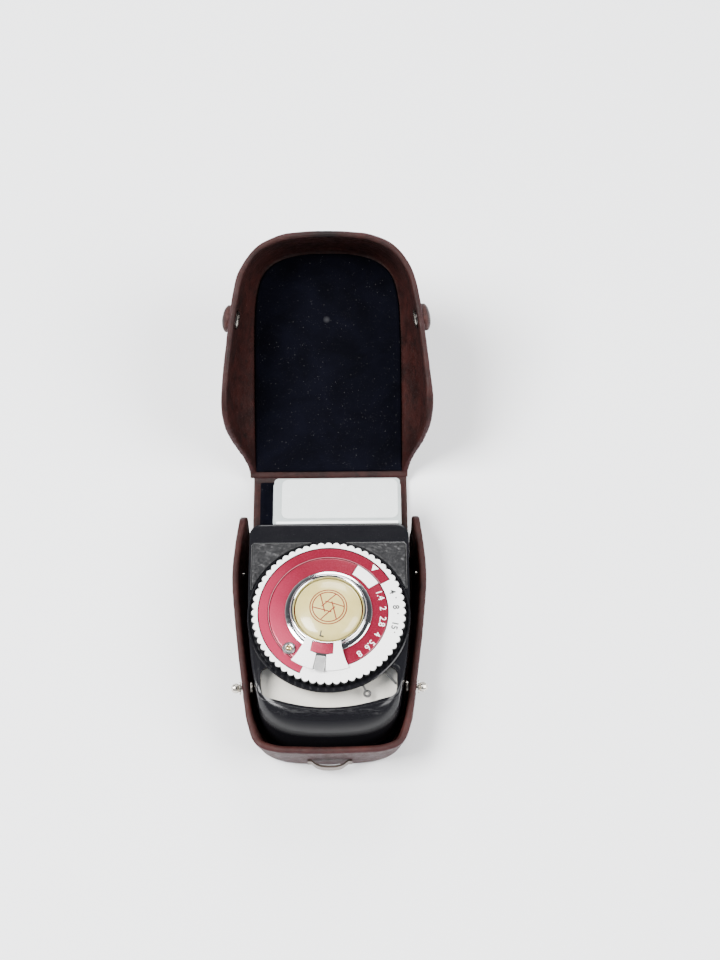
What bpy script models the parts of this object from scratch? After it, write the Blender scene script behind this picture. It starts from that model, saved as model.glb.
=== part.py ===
"""Handheld selenium light meter lying in its opened leather case.

Metres, +Z up.  The origin is on the surface the case lies on, straight under the dial's axis.
+X is to the right of the dial, +Y runs from the dial towards the opened lid.
All working sizes below are millimetres and become metres in the mesh builders.
"""
from math import atan2, cos, degrees, hypot, pi, radians, sin

import bmesh
import bpy
from mathutils import Matrix

MM = 0.001
GAP = 0.3                 # air between pieces that touch

# Case: leather tray, neck strip and lid
TRAY_LEATHER = 2.6
LID_LEATHER = 2.4
TRAY_RIM_Z = 20.5
TRAY_END_Y = 35.7         # where the tray's floor stops and the neck starts
EAR_TIP_Y = 48.5          # the side walls run on past the floor as round ears
NECK_HALF_WIDTH = 30.2
NECK_START_Y = 36.0
NECK_END_Y = 70.2
NECK_TOP_Z = 2.6
NECK_AXIS = (36.0, 6.0)   # y, z of the fold between tray and neck
LID_AXIS = (70.5, 3.0)    # y, z of the fold between neck and lid
LID_TILT = 30.0           # how far the lid stands up from the table
LID_CENTRE_X = -0.5
LID_RIM_H = 29.5
STUD_Y = -23.0
STUD_Z = 17.5
WALL_RIVET = (24.5, 13.0)  # y, z of the rivets in the side walls
WALL_RIVET_X = 35.25      # where the walls' outer faces are at that height
SNAP_S = LID_AXIS[0] - NECK_AXIS[0] + 3.0 - STUD_Y + 1.5   # along the lid, meets the stud when shut
SNAP_H = 23.0
SNAP_X = 36.6             # the lid wall's outer face at the snaps, and how far the wall turns in there
SNAP_TURN = 8.4
SNAP_CAP_R = 5.2
SNAP_CAP_RISE = 2.1

# Meter body
BASE_Z = 4.2
TOP_Z = 29.3
WALL = 1.8
PLATE = 1.2
END_Y = 37.5
FOOT_Y = -42.7            # lower end of the body
LIP_Y = -36.4             # lower end of its flat top, where the worn lip starts to fall
HALF_WIDTH = 29.5
CELL_X = (-21.2, 27.3)    # cell opening in the end face
FLAP_AXIS = (36.0, 26.9)
FLAP_TOP_Z = 28.8
FLAP_DEPTH = 4.8
FLAP_Y = (37.8, 57.4)
FLAP_X = (-20.6, 26.8)

# Dial
TIP_R = 28.0
TEETH = 60
RING_Z = (30.5, 33.0)
RING_INNER_R = 21.7
RED_DISC_R = 21.4
CAP_R = 12.0
CAP_TOP_Z = 38.0
KNOB_PLACE = (20.0, 225.0)     # radius, angle
INDEX_ANGLE = 261.5             # middle of the white index wings

# Movement
PIVOT = (0.0, 7.0)
NEEDLE_ANGLE = -52.0
NEEDLE_LENGTH = 39.0
NEEDLE_Z = 22.3
POINTER_ANGLE = -64.2
POINTER_R = 31.4
POINTER_Z = 24.6


def clear_scene():
    for ob in list(bpy.data.objects):
        bpy.data.objects.remove(ob, do_unlink=True)


def material(name, color, rough=0.5, metal=0.0, alpha=1.0):
    mat = bpy.data.materials.get(name) or bpy.data.materials.new(name)
    mat.use_nodes = True
    shader = mat.node_tree.nodes["Principled BSDF"]
    shader.inputs["Base Color"].default_value = (*color, 1.0)
    shader.inputs["Roughness"].default_value = rough
    shader.inputs["Metallic"].default_value = metal
    shader.inputs["Alpha"].default_value = alpha
    return mat


LEATHER = ("leather", (0.10, 0.035, 0.025), 0.55)
LINING = ("velvet lining", (0.005, 0.005, 0.012), 0.9)
NICKEL = ("nickel", (0.72, 0.70, 0.66), 0.25, 1.0)
BAKELITE = ("black enamel", (0.012, 0.012, 0.015), 0.3)
PEBBLE = ("pebbled leatherette", (0.06, 0.06, 0.06), 0.7)
ALUMINIUM = ("white aluminium", (0.9, 0.9, 0.9), 0.35, 0.6)
CRIMSON = ("crimson lacquer", (0.5, 0.03, 0.08), 0.3, 0.3)
CHROME = ("chrome", (0.8, 0.8, 0.8), 0.1, 1.0)
CREAM = ("cream enamel", (0.68, 0.58, 0.32), 0.3)
CARD = ("scale card", (0.6, 0.58, 0.5), 0.6)
OPAL = ("opal plastic", (0.75, 0.78, 0.76), 0.3)
CLEAR = ("clear window", (0.9, 0.92, 0.92), 0.05, 0.0, 0.35)
BRASS = ("brass", (0.6, 0.45, 0.2), 0.3, 1.0)
STEEL = ("steel", (0.5, 0.5, 0.5), 0.35, 1.0)
SELENIUM = ("selenium cell", (0.10, 0.09, 0.08), 0.3, 0.3)
COPPER = ("copper winding", (0.5, 0.2, 0.1), 0.35, 1.0)
MAGNET = ("magnet alloy", (0.2, 0.2, 0.22), 0.5, 0.8)


def finish_mesh(name, bm, look, place=None, smooth=35):
    """Turn a bmesh in millimetres into a named object; place is a matrix in millimetres."""
    if place is not None:
        bmesh.ops.transform(bm, matrix=place, verts=bm.verts)
    bmesh.ops.scale(bm, vec=(MM, MM, MM), verts=bm.verts)
    bmesh.ops.recalc_face_normals(bm, faces=bm.faces)
    mesh = bpy.data.meshes.new(name)
    bm.to_mesh(mesh)
    bm.free()
    ob = bpy.data.objects.new(name, mesh)
    bpy.context.scene.collection.objects.link(ob)
    mesh.materials.append(material(*look))
    mesh.shade_smooth()
    mesh.set_sharp_from_angle(angle=radians(smooth))
    return ob


def loft(rings, closed=False):
    """Skin rings with equal point counts; the two ends get caps, or join each other when closed."""
    bm = bmesh.new()
    rows = [[bm.verts.new(p) for p in ring] for ring in rings]
    pairs = list(zip(rows, rows[1:]))
    if closed:
        pairs.append((rows[-1], rows[0]))
    for low, high in pairs:
        for i in range(len(low)):
            j = (i + 1) % len(low)
            bm.faces.new((low[i], low[j], high[j], high[i]))
    if not closed:
        bm.faces.new(rows[0])
        bm.faces.new(rows[-1])
    return bm


def flat_ring(outline, z):
    return [(x, y, z) for x, y in outline]


def prism(outline, low, high):
    return loft([flat_ring(outline, low), flat_ring(outline, high)])


def rectangle(x0, y0, x1, y1):
    return [(x0, y0), (x1, y0), (x1, y1), (x0, y1)]


def box(low, high):
    (x0, y0, z0), (x1, y1, z1) = low, high
    return prism(rectangle(x0, y0, x1, y1), z0, z1)


def circle(radius, count, centre=(0.0, 0.0), phase=0.0):
    steps = [phase + 2 * pi * i / count for i in range(count)]
    return [(centre[0] + radius * cos(a), centre[1] + radius * sin(a)) for a in steps]


def turned(profile, count=48, centre=(0.0, 0.0)):
    """A closed profile of (radius, z) spun about +Z; a profile that starts and ends on the axis is solid."""
    solid = profile[0][0] == 0 and profile[-1][0] == 0
    if not solid:
        return loft([flat_ring(circle(r, count, centre), z) for r, z in profile], closed=True)
    bm = bmesh.new()
    rows = [[bm.verts.new((x, y, z)) for x, y in circle(r, count, centre)] for r, z in profile[1:-1]]
    ends = [bm.verts.new((centre[0], centre[1], profile[i][1])) for i in (0, -1)]
    for low, high in zip(rows, rows[1:]):
        for i in range(count):
            j = (i + 1) % count
            bm.faces.new((low[i], low[j], high[j], high[i]))
    for end, row in zip(ends, (rows[0], rows[-1])):
        for i in range(count):
            bm.faces.new((end, row[i], row[(i + 1) % count]))
    return bm


def cutter(name, bm, place=None):
    ob = finish_mesh(name, bm, STEEL, place)
    ob.hide_render = True
    ob.display_type = "WIRE"
    return ob


def combine(ob, other, how="DIFFERENCE"):
    mod = ob.modifiers.new(other.name, "BOOLEAN")
    mod.operation = how
    mod.solver = "EXACT"
    mod.object = other


def smooth_path(points, steps):
    """Catmull-Rom points through a few control points."""
    out = []
    ends = [points[0]] + list(points) + [points[-1]]
    for a, b, c, d in zip(ends, ends[1:], ends[2:], ends[3:]):
        for i in range(steps):
            t = i / steps
            weights = (-t + 2 * t ** 2 - t ** 3, 2 - 5 * t ** 2 + 3 * t ** 3,
                       t + 4 * t ** 2 - 3 * t ** 3, t ** 3 - t ** 2)
            out.append(tuple(0.5 * sum(w * v for w, v in zip(weights, values)) for values in zip(a, b, c, d)))
    out.append(tuple(points[-1]))
    return out


def inset(outline, distance):
    """Move a closed anticlockwise outline inwards by a distance."""
    out = []
    count = len(outline)
    for i, (x, y) in enumerate(outline):
        (ax, ay), (bx, by) = outline[i - 1], outline[(i + 1) % count]
        length = hypot(bx - ax, by - ay)
        out.append((x - (by - ay) / length * distance, y + (bx - ax) / length * distance))
    return out


def mirrored(half):
    """A closed anticlockwise outline from its +X half, listed from -Y on the axis up to +Y on the axis."""
    return half + [(-x, y) for x, y in reversed(half[1:-1])]


def mix(first, second, share):
    return [(a + (c - a) * share, b + (d - b) * share) for (a, b), (c, d) in zip(first, second)]


def rounded(x0, y0, x1, y1, radius, steps=5):
    corners = [(x1 - radius, y1 - radius, 0), (x0 + radius, y1 - radius, 90),
               (x0 + radius, y0 + radius, 180), (x1 - radius, y0 + radius, 270)]
    out = []
    for cx, cy, start in corners:
        for i in range(steps + 1):
            a = radians(start + 90 * i / steps)
            out.append((cx + radius * cos(a), cy + radius * sin(a)))
    return out


def sector(inner, outer, start, end, steps):
    """A flat ring sector between two angles in degrees, anticlockwise."""
    angles = [radians(start + (end - start) * i / steps) for i in range(steps + 1)]
    return ([(outer * cos(a), outer * sin(a)) for a in angles]
            + [(inner * cos(a), inner * sin(a)) for a in reversed(angles)])


# ---------------------------------------------------------------- leather case

def tray_base_outline():
    half = [(0, -46.3), (9, -46.0), (17, -45.0), (23.2, -42.2), (27.2, -37.0), (29.6, -30.0),
            (31.0, -21.0), (32.6, -4.0), (33.6, 16.0), (33.9, 34.0), (33.9, 46.0), (33.9, 58.0), (0, 58.0)]
    return mirrored(smooth_path(half[:-1], 3) + [half[-1]])


def tray_rim_outline():
    half = [(0, -48.8), (9, -48.6), (19, -48.0), (26.2, -45.0), (29.3, -37.6), (30.7, -30.0),
            (32.0, -20.0), (34.5, -1.0), (36.3, 19.0), (35.6, 33.0), (34.3, 45.0), (33.9, 58.0), (0, 58.0)]
    return mirrored(smooth_path(half[:-1], 3) + [half[-1]])


def tray_level(share):
    """Outer outline of the tray's wall, from its foot at 0 to its rim at 1."""
    return mix(tray_base_outline(), tray_rim_outline(), share)


def build_tray():
    rings = [flat_ring(inset(tray_level(0.0), 0.6), 0.0)]
    for share in (0.06, 0.5, 1.0):
        rings.append(flat_ring(tray_level(share), share * (TRAY_RIM_Z - 0.7)))
    rings.append(flat_ring(inset(tray_level(1.0), 0.7), TRAY_RIM_Z))
    rings.append(flat_ring(inset(tray_level(1.0), TRAY_LEATHER - 0.7), TRAY_RIM_Z))
    for share in (1.0, 0.5):
        rings.append(flat_ring(inset(tray_level(share), TRAY_LEATHER), share * (TRAY_RIM_Z - 0.7)))
    rings.append(flat_ring(inset(tray_level(0.15), TRAY_LEATHER + 0.1), TRAY_LEATHER))
    ob = finish_mesh("case_tray", loft(rings), LEATHER)
    combine(ob, cutter("cut_floor_end", box((-30.8, TRAY_END_Y, -5), (30.8, 80, 40))))
    ear = [(-6.7, -5), (-3.7, 0.0), (-1.2, 3.5), (0.0, 8.0), (0.0, 12.5), (-1.6, 16.5),
           (-4.6, 19.4), (-8.7, 20.6), (-12.2, 25.0), (-12.2, 30.0), (40, 30.0), (40, -5)]
    rings = [[(x, EAR_TIP_Y + back, z) for back, z in ear] for x in (-60, 60)]
    combine(ob, cutter("cut_ears", loft(rings)))
    for y, z, radius in ((STUD_Y, STUD_Z, 1.3), (*WALL_RIVET, 0.95)):
        hole = turned([(0, -60), (radius, -60), (radius, 60), (0, 60)], 16)
        place = Matrix.Translation((0, y, z)) @ Matrix.Rotation(pi / 2, 4, "Y")
        combine(ob, cutter(f"cut_hole_{radius}", hole, place))


def build_tray_lining():
    floor = inset(tray_level(0.15), TRAY_LEATHER + 1.2)
    ob = finish_mesh("tray_lining", prism(floor, TRAY_LEATHER + GAP, TRAY_LEATHER + GAP + 0.9), LINING)
    combine(ob, cutter("cut_lining_end", box((-60, TRAY_END_Y - 0.5, -5), (60, 80, 40))))


def build_studs():
    wall_x = 31.75
    for name, side in (("left", -1), ("right", 1)):
        turn = Matrix.Translation((side * wall_x, STUD_Y, STUD_Z)) @ Matrix.Rotation(side * pi / 2, 4, "Y")
        ball = [(1.8 * sin(a), 2.1 - 1.8 * cos(a)) for a in (radians(40 + 28 * i) for i in range(5))]
        profile = [(0, -2.7), (1.0, -2.7), (1.0, GAP), (2.3, GAP), (2.3, 0.7), (1.1, 0.7)] + ball + [(0, 3.9)]
        finish_mesh(f"stud_{name}", turned(profile, 20), NICKEL, turn)
        washer = [(1.3, -3.9), (2.4, -3.9), (2.4, -3.3), (1.3, -3.3)]
        finish_mesh(f"stud_washer_{name}", turned(washer, 20), NICKEL, turn)


def build_wall_rivets():
    """Small rivets through the tray's side walls, beside the upper half of the body."""
    y, z = WALL_RIVET
    for name, side in (("left", -1), ("right", 1)):
        turn = Matrix.Translation((side * WALL_RIVET_X, y, z)) @ Matrix.Rotation(side * pi / 2, 4, "Y")
        profile = [(0, -3.5), (0.8, -3.4), (1.4, -3.0), (0.65, -3.0)]
        profile += [(0.65, 0.4), (1.4, 0.4), (1.1, 0.8), (0, 0.9)]
        finish_mesh(f"wall_rivet_{name}", turned(profile, 16), NICKEL, turn)


def build_strap_loop():
    """A flat metal bow on the tray's lower end, its two feet bent flat against the leather."""
    half_span, foot_x, stand_off, strip, height = 6.6, 8.0, 2.3, 0.8, 3.4
    wall_y, low = -47.3, 6.0
    outer, inner = [], []
    for i in range(17):
        u = -1 + 2 * i / 16
        bow = (1 - u ** 4) * (1 - 0.25 * u * u)
        outer.append((u * half_span, wall_y - strip - stand_off * bow))
        inner.append((u * half_span, wall_y - stand_off * bow))
    outline = [(-foot_x, wall_y)] + inner + [(foot_x, wall_y), (foot_x, wall_y - strip)]
    outline += [(x, y) for x, y in reversed(outer)] + [(-foot_x, wall_y - strip)]
    finish_mesh("strap_loop", prism(outline, low, low + height), NICKEL)


def build_neck():
    y0, y1 = NECK_START_Y, NECK_END_Y
    strip = rounded(-NECK_HALF_WIDTH, y0, NECK_HALF_WIDTH, y1, 0.8, 2)
    finish_mesh("case_neck", prism(strip, 0, NECK_TOP_Z), LEATHER)
    lining = rounded(-28.6, y0 + 0.8, 28.6, y1 - 1.6, 1.0, 2)
    finish_mesh("neck_lining", prism(lining, NECK_TOP_Z + GAP, NECK_TOP_Z + GAP + 0.5), LINING)


def lid_place():
    """Lid coordinates (x, s along the lid, h above its fold) to the row frame at rest."""
    return (Matrix.Translation((LID_CENTRE_X, LID_AXIS[0], LID_AXIS[1]))
            @ Matrix.Rotation(radians(LID_TILT), 4, "X"))


def lid_rim_outline():
    half = [(0, -6), (31.5, -6), (31.8, 0.0), (35.8, 8.0), (39.3, 18.0), (40.3, 28.0),
            (39.6, 39.0), (38.2, 51.0), (36.9, 61.0), (35.4, 70.0), (32.9, 79.5), (26.8, 88.2),
            (18.0, 92.8), (8.5, 94.3), (0, 94.6)]
    return mirrored([half[0]] + smooth_path(half[1:], 3))


def lid_foot_outline():
    half = [(0, -6), (31.2, -6), (31.4, 0.0), (31.8, 8.0), (31.9, 18.0), (31.9, 28.0),
            (31.9, 39.0), (31.9, 51.0), (31.8, 61.0), (31.2, 70.0), (29.4, 79.0), (24.6, 86.4),
            (16.8, 90.8), (8.0, 92.4), (0, 92.8)]
    return mirrored([half[0]] + smooth_path(half[1:], 3))


def lid_level(share):
    return mix(lid_foot_outline(), lid_rim_outline(), share)


LID_WALL = [(0.0, 1.0), (0.42, 6.0), (0.74, 12.0), (0.93, 20.0), (1.0, LID_RIM_H - 0.7)]   # flare, height


def snap_place(side):
    """The middle of the lid wall's outer face at a snap, facing outwards."""
    return (lid_place() @ Matrix.Translation((side * SNAP_X, SNAP_S, SNAP_H))
            @ Matrix.Rotation(side * radians(SNAP_TURN), 4, "Z") @ Matrix.Rotation(side * pi / 2, 4, "Y"))


def build_lid():
    rings = [flat_ring(inset(lid_level(0), 2.2), -3.0), flat_ring(inset(lid_level(0), 0.6), -1.9)]
    for share, height in LID_WALL:
        rings.append(flat_ring(lid_level(share), height))
    rings.append(flat_ring(inset(lid_level(1), 0.7), LID_RIM_H))
    rings.append(flat_ring(inset(lid_level(1), LID_LEATHER - 0.7), LID_RIM_H))
    for share, height in reversed(LID_WALL[1:]):
        rings.append(flat_ring(inset(lid_level(share), LID_LEATHER), height))
    rings.append(flat_ring(inset(lid_level(0.0), LID_LEATHER), 1.2))
    rings.append(flat_ring(inset(lid_level(0.0), LID_LEATHER + 0.4), 0.0))
    ob = finish_mesh("case_lid", loft(rings), LEATHER, lid_place())
    mouth = [(-12, -8), (0.5, -8), (0.5, 0.0), (2.6, 0.0), (8.0, 5.0), (14.0, 12.6), (19.5, 19.6),
             (23.5, 24.0), (27.5, 27.0), (32.0, 28.8), (36.5, LID_RIM_H + 0.2), (38.0, 45), (-12, 45)]
    rings = [[(x, s, h) for s, h in mouth] for x in (-60, 60)]
    combine(ob, cutter("cut_lid_mouth", loft(rings), lid_place()))
    for side in (-1, 1):
        hole = turned([(0, -9), (2.9, -9), (2.9, 9), (0, 9)], 20)
        combine(ob, cutter(f"cut_snap_hole_{side}", hole, snap_place(side)))


def build_lid_lining():
    half = [(0, 3.0), (28.7, 3.0), (28.7, 20.0), (28.7, 40.0), (28.5, 60.0), (27.6, 72.0), (24.8, 80.6),
            (18.6, 85.8), (9.5, 88.2), (0, 88.6)]
    outline = mirrored([half[0]] + smooth_path(half[1:], 3))
    finish_mesh("lid_lining", prism(outline, 0.3, 1.1), LINING, lid_place())


def build_snaps():
    for name, side in (("left", -1), ("right", 1)):
        turns = [radians(15 * i) for i in range(1, 6)]
        dome = [(SNAP_CAP_R * cos(a), 0.9 + SNAP_CAP_RISE * sin(a)) for a in turns]
        cap = [(0, 0.4), (SNAP_CAP_R, 0.4), (SNAP_CAP_R, 0.9)] + dome + [(0, 0.9 + SNAP_CAP_RISE)]
        finish_mesh(f"snap_cap_{name}", turned(cap, 24), LEATHER, snap_place(side))
        socket = [(2.4, -3.3), (3.6, -3.3), (3.6, -2.8), (2.75, -2.8), (2.75, 0.1), (2.4, 0.1)]
        finish_mesh(f"snap_socket_{name}", turned(socket, 24), NICKEL, snap_place(side))


# ---------------------------------------------------------------- meter body

def body_outline(foot_y):
    """Plan of the meter's body: square shoulders at the cell end, narrowing to a rounded foot."""
    steps = 5
    shoulder = 4.5
    right = [(0, foot_y), (7.5, foot_y + 0.3), (13.5, foot_y + 1.1), (18.4, foot_y + 2.8),
             (21.9, foot_y + 5.2), (24.2, foot_y + 8.0)]
    right += [(25.4, max(foot_y + 9.0, -31.5)), (26.9, -23.0), (28.6, -10.0)]
    right += [(HALF_WIDTH, 8.0), (HALF_WIDTH, END_Y - shoulder)]
    for i in range(1, steps + 1):
        a = radians(90 * i / steps)
        right.append((HALF_WIDTH - shoulder + shoulder * cos(a), END_Y - shoulder + shoulder * sin(a)))
    right.append((0, END_Y))
    return mirrored(right)


def window_outline(draw_in=0.0):
    """Crescent window below the dial: straight sides, round lower corners, arc along the dial."""
    out = []
    side, low, corner = 24.4 - draw_in, -35.0 + draw_in, 4.2
    top_r = 25.8 + draw_in
    rise = 3.6            # the lower edge is a shallow bow, this much higher at its ends
    for cx, start in ((-(side - corner), 180), (side - corner, 282)):
        for i in range(6):
            a = radians(start + 78 * i / 5)
            out.append((cx + corner * cos(a), low + rise + corner + corner * sin(a)))
        if cx < 0:
            bow = [-0.75, -0.5, -0.25, 0.0, 0.25, 0.5, 0.75]
            out += [(u * (side - corner), low + rise * u * u) for u in bow]
    top = 20.0 + draw_in
    reach = degrees(atan2(top, side))
    shoulder = [(side, -top - 1.8), (side - 0.5, -top - 0.6), (side - 1.6, -top)]
    out += shoulder
    for i in range(1, 12):
        a = radians(-reach - (180 - 2 * reach) * i / 12)
        out.append((top_r * cos(a), top_r * sin(a)))
    out += [(-x, y) for x, y in reversed(shoulder)]
    return out


def build_casing():
    full = body_outline(FOOT_Y)
    lip = body_outline(LIP_Y)
    rings = [flat_ring(inset(full, 0.8), BASE_Z), flat_ring(full, BASE_Z + 0.9),
             flat_ring(full, 22.6), flat_ring(mix(full, lip, 0.12), 24.2),
             flat_ring(mix(full, lip, 0.72), TOP_Z - 0.9), flat_ring(inset(lip, 0.5), TOP_Z - 0.2),
             flat_ring(inset(lip, 0.9), TOP_Z)]
    ob = finish_mesh("body_casing", loft(rings), BAKELITE)
    hollow_low = inset(full, WALL)
    hollow_top = inset(mix(full, lip, 0.55), WALL + 0.6)
    hollow = loft([flat_ring(hollow_low, 0), flat_ring(hollow_low, 22.0),
                   flat_ring(hollow_top, TOP_Z - PLATE)])
    combine(ob, cutter("cut_hollow", hollow))
    combine(ob, cutter("cut_window", prism(window_outline(), 20, 40)))
    combine(ob, cutter("cut_cell", box((CELL_X[0], 30, BASE_Z + 1.0), (CELL_X[1], 45, TOP_Z - PLATE))))
    combine(ob, cutter("cut_spindle", turned([(0, 20), (2.6, 20), (2.6, 40), (0, 40)], 24)))


def build_back_cover():
    outline = inset(body_outline(FOOT_Y), WALL + GAP)
    ob = finish_mesh("back_cover", prism(outline, BASE_Z, BASE_Z + 1.2), BAKELITE)
    for i, (x, y) in enumerate(SCREW_PLACES):
        profile = [(0, -1), (1.9, -1), (1.9, BASE_Z + 0.65), (0.95, BASE_Z + 0.65), (0.95, 9), (0, 9)]
        combine(ob, cutter(f"cut_screw_{i}", turned(profile, 16, (x, y))))
    combine(ob, cutter("cut_zero", turned([(0, -1), (2.3, -1), (2.3, 9), (0, 9)], 20, PIVOT)))


SCREW_PLACES = [(-23.5, 23.0), (23.5, 23.0), (-19.0, -35.0), (19.0, -35.0)]
SCREW_NAMES = ["cover_screw_1", "cover_screw_2", "cover_screw_3", "cover_screw_4"]


def screw_with_slot(name, centre, head_r, head, shank_r, shank_z, slot, look):
    low, high = head
    profile = [(0, low), (head_r, low), (head_r, high), (shank_r, high), (shank_r, shank_z), (0, shank_z)]
    ob = finish_mesh(name, turned(profile, 20, centre), look)
    x, y = centre
    slot_box = box((x - 5, y - slot / 2, low - 1), (x + 5, y + slot / 2, low + 0.25))
    combine(ob, cutter(f"cut_slot_{name}", slot_box))


def build_screws():
    for name, place in zip(SCREW_NAMES, SCREW_PLACES):
        screw_with_slot(name, place, 1.6, (BASE_Z + 0.05, BASE_Z + 0.45), 0.7, BASE_Z + 3.2, 0.4, STEEL)
    screw_with_slot("zero_screw", PIVOT, 2.0, (BASE_Z + 0.05, BASE_Z + 1.0), 0.6, BASE_Z + 1.7, 0.5, BRASS)


def panel_outline(side):
    """Textured inlay in the corner beside the dial: straight outside, hollow along the dial's rim."""
    clear_r = 29.9
    top_y, low_y, outer_x = 29.2, 10.8, 28.2
    first = atan2(top_y, (clear_r ** 2 - top_y ** 2) ** 0.5)
    last = atan2(low_y, (clear_r ** 2 - low_y ** 2) ** 0.5)
    arc = [first + (last - first) * i / 10 for i in range(11)]
    points = [(outer_x - 0.4, top_y)] + [(clear_r * cos(a), clear_r * sin(a)) for a in arc]
    points = [(min(x, outer_x), y) for x, y in points]
    points.append((outer_x, low_y))
    points.append((outer_x, top_y - 0.4))
    clean = []
    for p in points:
        if not clean or hypot(p[0] - clean[-1][0], p[1] - clean[-1][1]) > 0.15:
            clean.append(p)
    return [(x * side, y) for x, y in clean]


def build_panels():
    for name, side in (("left", -1), ("right", 1)):
        inlay = prism(panel_outline(side), TOP_Z + GAP, TOP_Z + GAP + 0.35)
        finish_mesh(f"corner_panel_{name}", inlay, PEBBLE)


def build_window():
    finish_mesh("window_glass", prism(window_outline(0.3), TOP_Z - 1.25, TOP_Z - 0.35), CLEAR)
    plate = [(-23.2, -13.0), (-22.6, -27.0), (-20.0, -34.0), (-14.0, -38.5), (14.0, -38.5), (20.0, -34.0),
             (22.6, -27.0), (23.2, -13.0)]
    finish_mesh("scale_plate", prism(plate, NEEDLE_Z - 1.2, NEEDLE_Z - 0.6), CARD)


# ---------------------------------------------------------------- light cell and its flap

def build_cell():
    x0, x1 = CELL_X[0] - 0.6, CELL_X[1] - 0.4
    z0, z1 = BASE_Z + 1.2 + GAP, TOP_Z - PLATE - GAP
    upright = Matrix.Rotation(pi / 2, 4, "X")
    face = rectangle(x0, z0, x1, z1)
    frame = finish_mesh("cell_frame", prism(face, -31.9, -30.4), BAKELITE, upright)
    opening = prism(rounded(x0 + 2.2, z0 + 1.6, x1 - 2.2, z1 - 1.6, 1.5, 3), -40, -20)
    combine(frame, cutter("cut_frame_opening", opening, upright))
    grid = finish_mesh("honeycomb_grid", prism(face, -30.1, -28.3), OPAL, upright)
    columns, rows_count = 9, 4
    pitch_x = (x1 - x0 - 3.0) / columns
    pitch_z = (z1 - z0 - 3.0) / rows_count
    pockets = bmesh.new()
    for i in range(columns):
        for j in range(rows_count):
            cx = x0 + 1.5 + pitch_x * (i + 0.5)
            cz = z0 + 1.5 + pitch_z * (j + 0.5)
            pocket = prism(circle(min(pitch_x, pitch_z) * 0.46, 6, (cx, cz), pi / 6), -40, -28.8)
            mesh = bpy.data.meshes.new("pocket")
            pocket.to_mesh(mesh)
            pocket.free()
            pockets.from_mesh(mesh)
            bpy.data.meshes.remove(mesh)
    combine(grid, cutter("cut_grid_pockets", pockets, upright))
    plate = rectangle(x0 + 1, z0 + 1, x1 - 1, z1 - 1)
    finish_mesh("photocell", prism(plate, -28.0, -27.2), SELENIUM, upright)


def build_flap():
    (x0, x1), (y0, y1) = FLAP_X, FLAP_Y
    top, bottom = FLAP_TOP_Z, FLAP_TOP_Z - FLAP_DEPTH
    plan = rounded(x0, y0, x1, y1, 2.0, 4)
    rings = [flat_ring(plan, bottom), flat_ring(plan, top - 0.7), flat_ring(inset(plan, 0.2), top - 0.25),
             flat_ring(inset(plan, 0.7), top)]
    inner = inset(plan, 1.1)
    ob = finish_mesh("diffuser_flap", loft(rings), OPAL)
    combine(ob, cutter("cut_flap_hollow", prism(inner, bottom - 5, top - 1.2)))
    pin_y, pin_z = FLAP_AXIS
    for i, (lx0, lx1) in enumerate(((x0 + 1.2, x0 + 4.2), (x1 - 4.2, x1 - 1.2))):
        lug = [(y0 + 0.6, pin_z - 1.1), (y0 + 0.6, pin_z + 0.6), (pin_y + 0.5, pin_z + 0.9)]
        turns = [radians(126 + 24 * k) for k in range(7)]
        lug += [(pin_y + 1.1 * cos(a), pin_z + 1.1 * sin(a)) for a in turns]
        rings = [[(x, y, z) for y, z in lug] for x in (lx0, lx1)]
        combine(ob, cutter(f"add_lug_{i}", loft(rings)), "UNION")
    along_x = Matrix.Translation((0, pin_y, pin_z)) @ Matrix.Rotation(pi / 2, 4, "Y")
    combine(ob, cutter("cut_pin_bore", turned([(0, -40), (0.75, -40), (0.75, 40), (0, 40)], 16), along_x))
    profile = [(0, CELL_X[0] + GAP), (0.45, CELL_X[0] + GAP), (0.45, CELL_X[1] - GAP), (0, CELL_X[1] - GAP)]
    finish_mesh("flap_hinge_pin", turned(profile, 12), STEEL, along_x)


# ---------------------------------------------------------------- calculator dial

def knurl_outline():
    """Sixty rounded teeth: each is a low arc at the tip and a narrow valley."""
    out = []
    for tooth in range(TEETH):
        middle = 2 * pi * tooth / TEETH
        for offset, radius in ((-0.36, TIP_R - 0.75), (-0.2, TIP_R), (0.2, TIP_R), (0.36, TIP_R - 0.75)):
            a = middle + offset * 2 * pi / TEETH
            out.append((radius * cos(a), radius * sin(a)))
    return out


RED_SPAN = (30.0, 246.0)


def build_dial_ring():
    low, high = RING_Z
    outer = knurl_outline()
    rings = [flat_ring(inset(outer, 0.3), low), flat_ring(outer, low + 0.3),
             flat_ring(outer, high - 0.3), flat_ring(inset(outer, 0.3), high)]
    ob = finish_mesh("knurled_ring", loft(rings), ALUMINIUM)
    middle = turned([(0, 20), (RING_INNER_R, 20), (RING_INNER_R, 40), (0, 40)], 72)
    combine(ob, cutter("cut_ring_middle", middle))
    start, end = RED_SPAN
    recess = prism(sector(20.0, 25.7, start - 0.5, end + 0.5, 48), high - 0.8, 40)
    combine(ob, cutter("cut_red_recess", recess))
    finish_mesh("red_outer_ring", prism(sector(22.0, 25.4, start, end, 48), high - 0.5, high - 0.05), CRIMSON)


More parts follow.
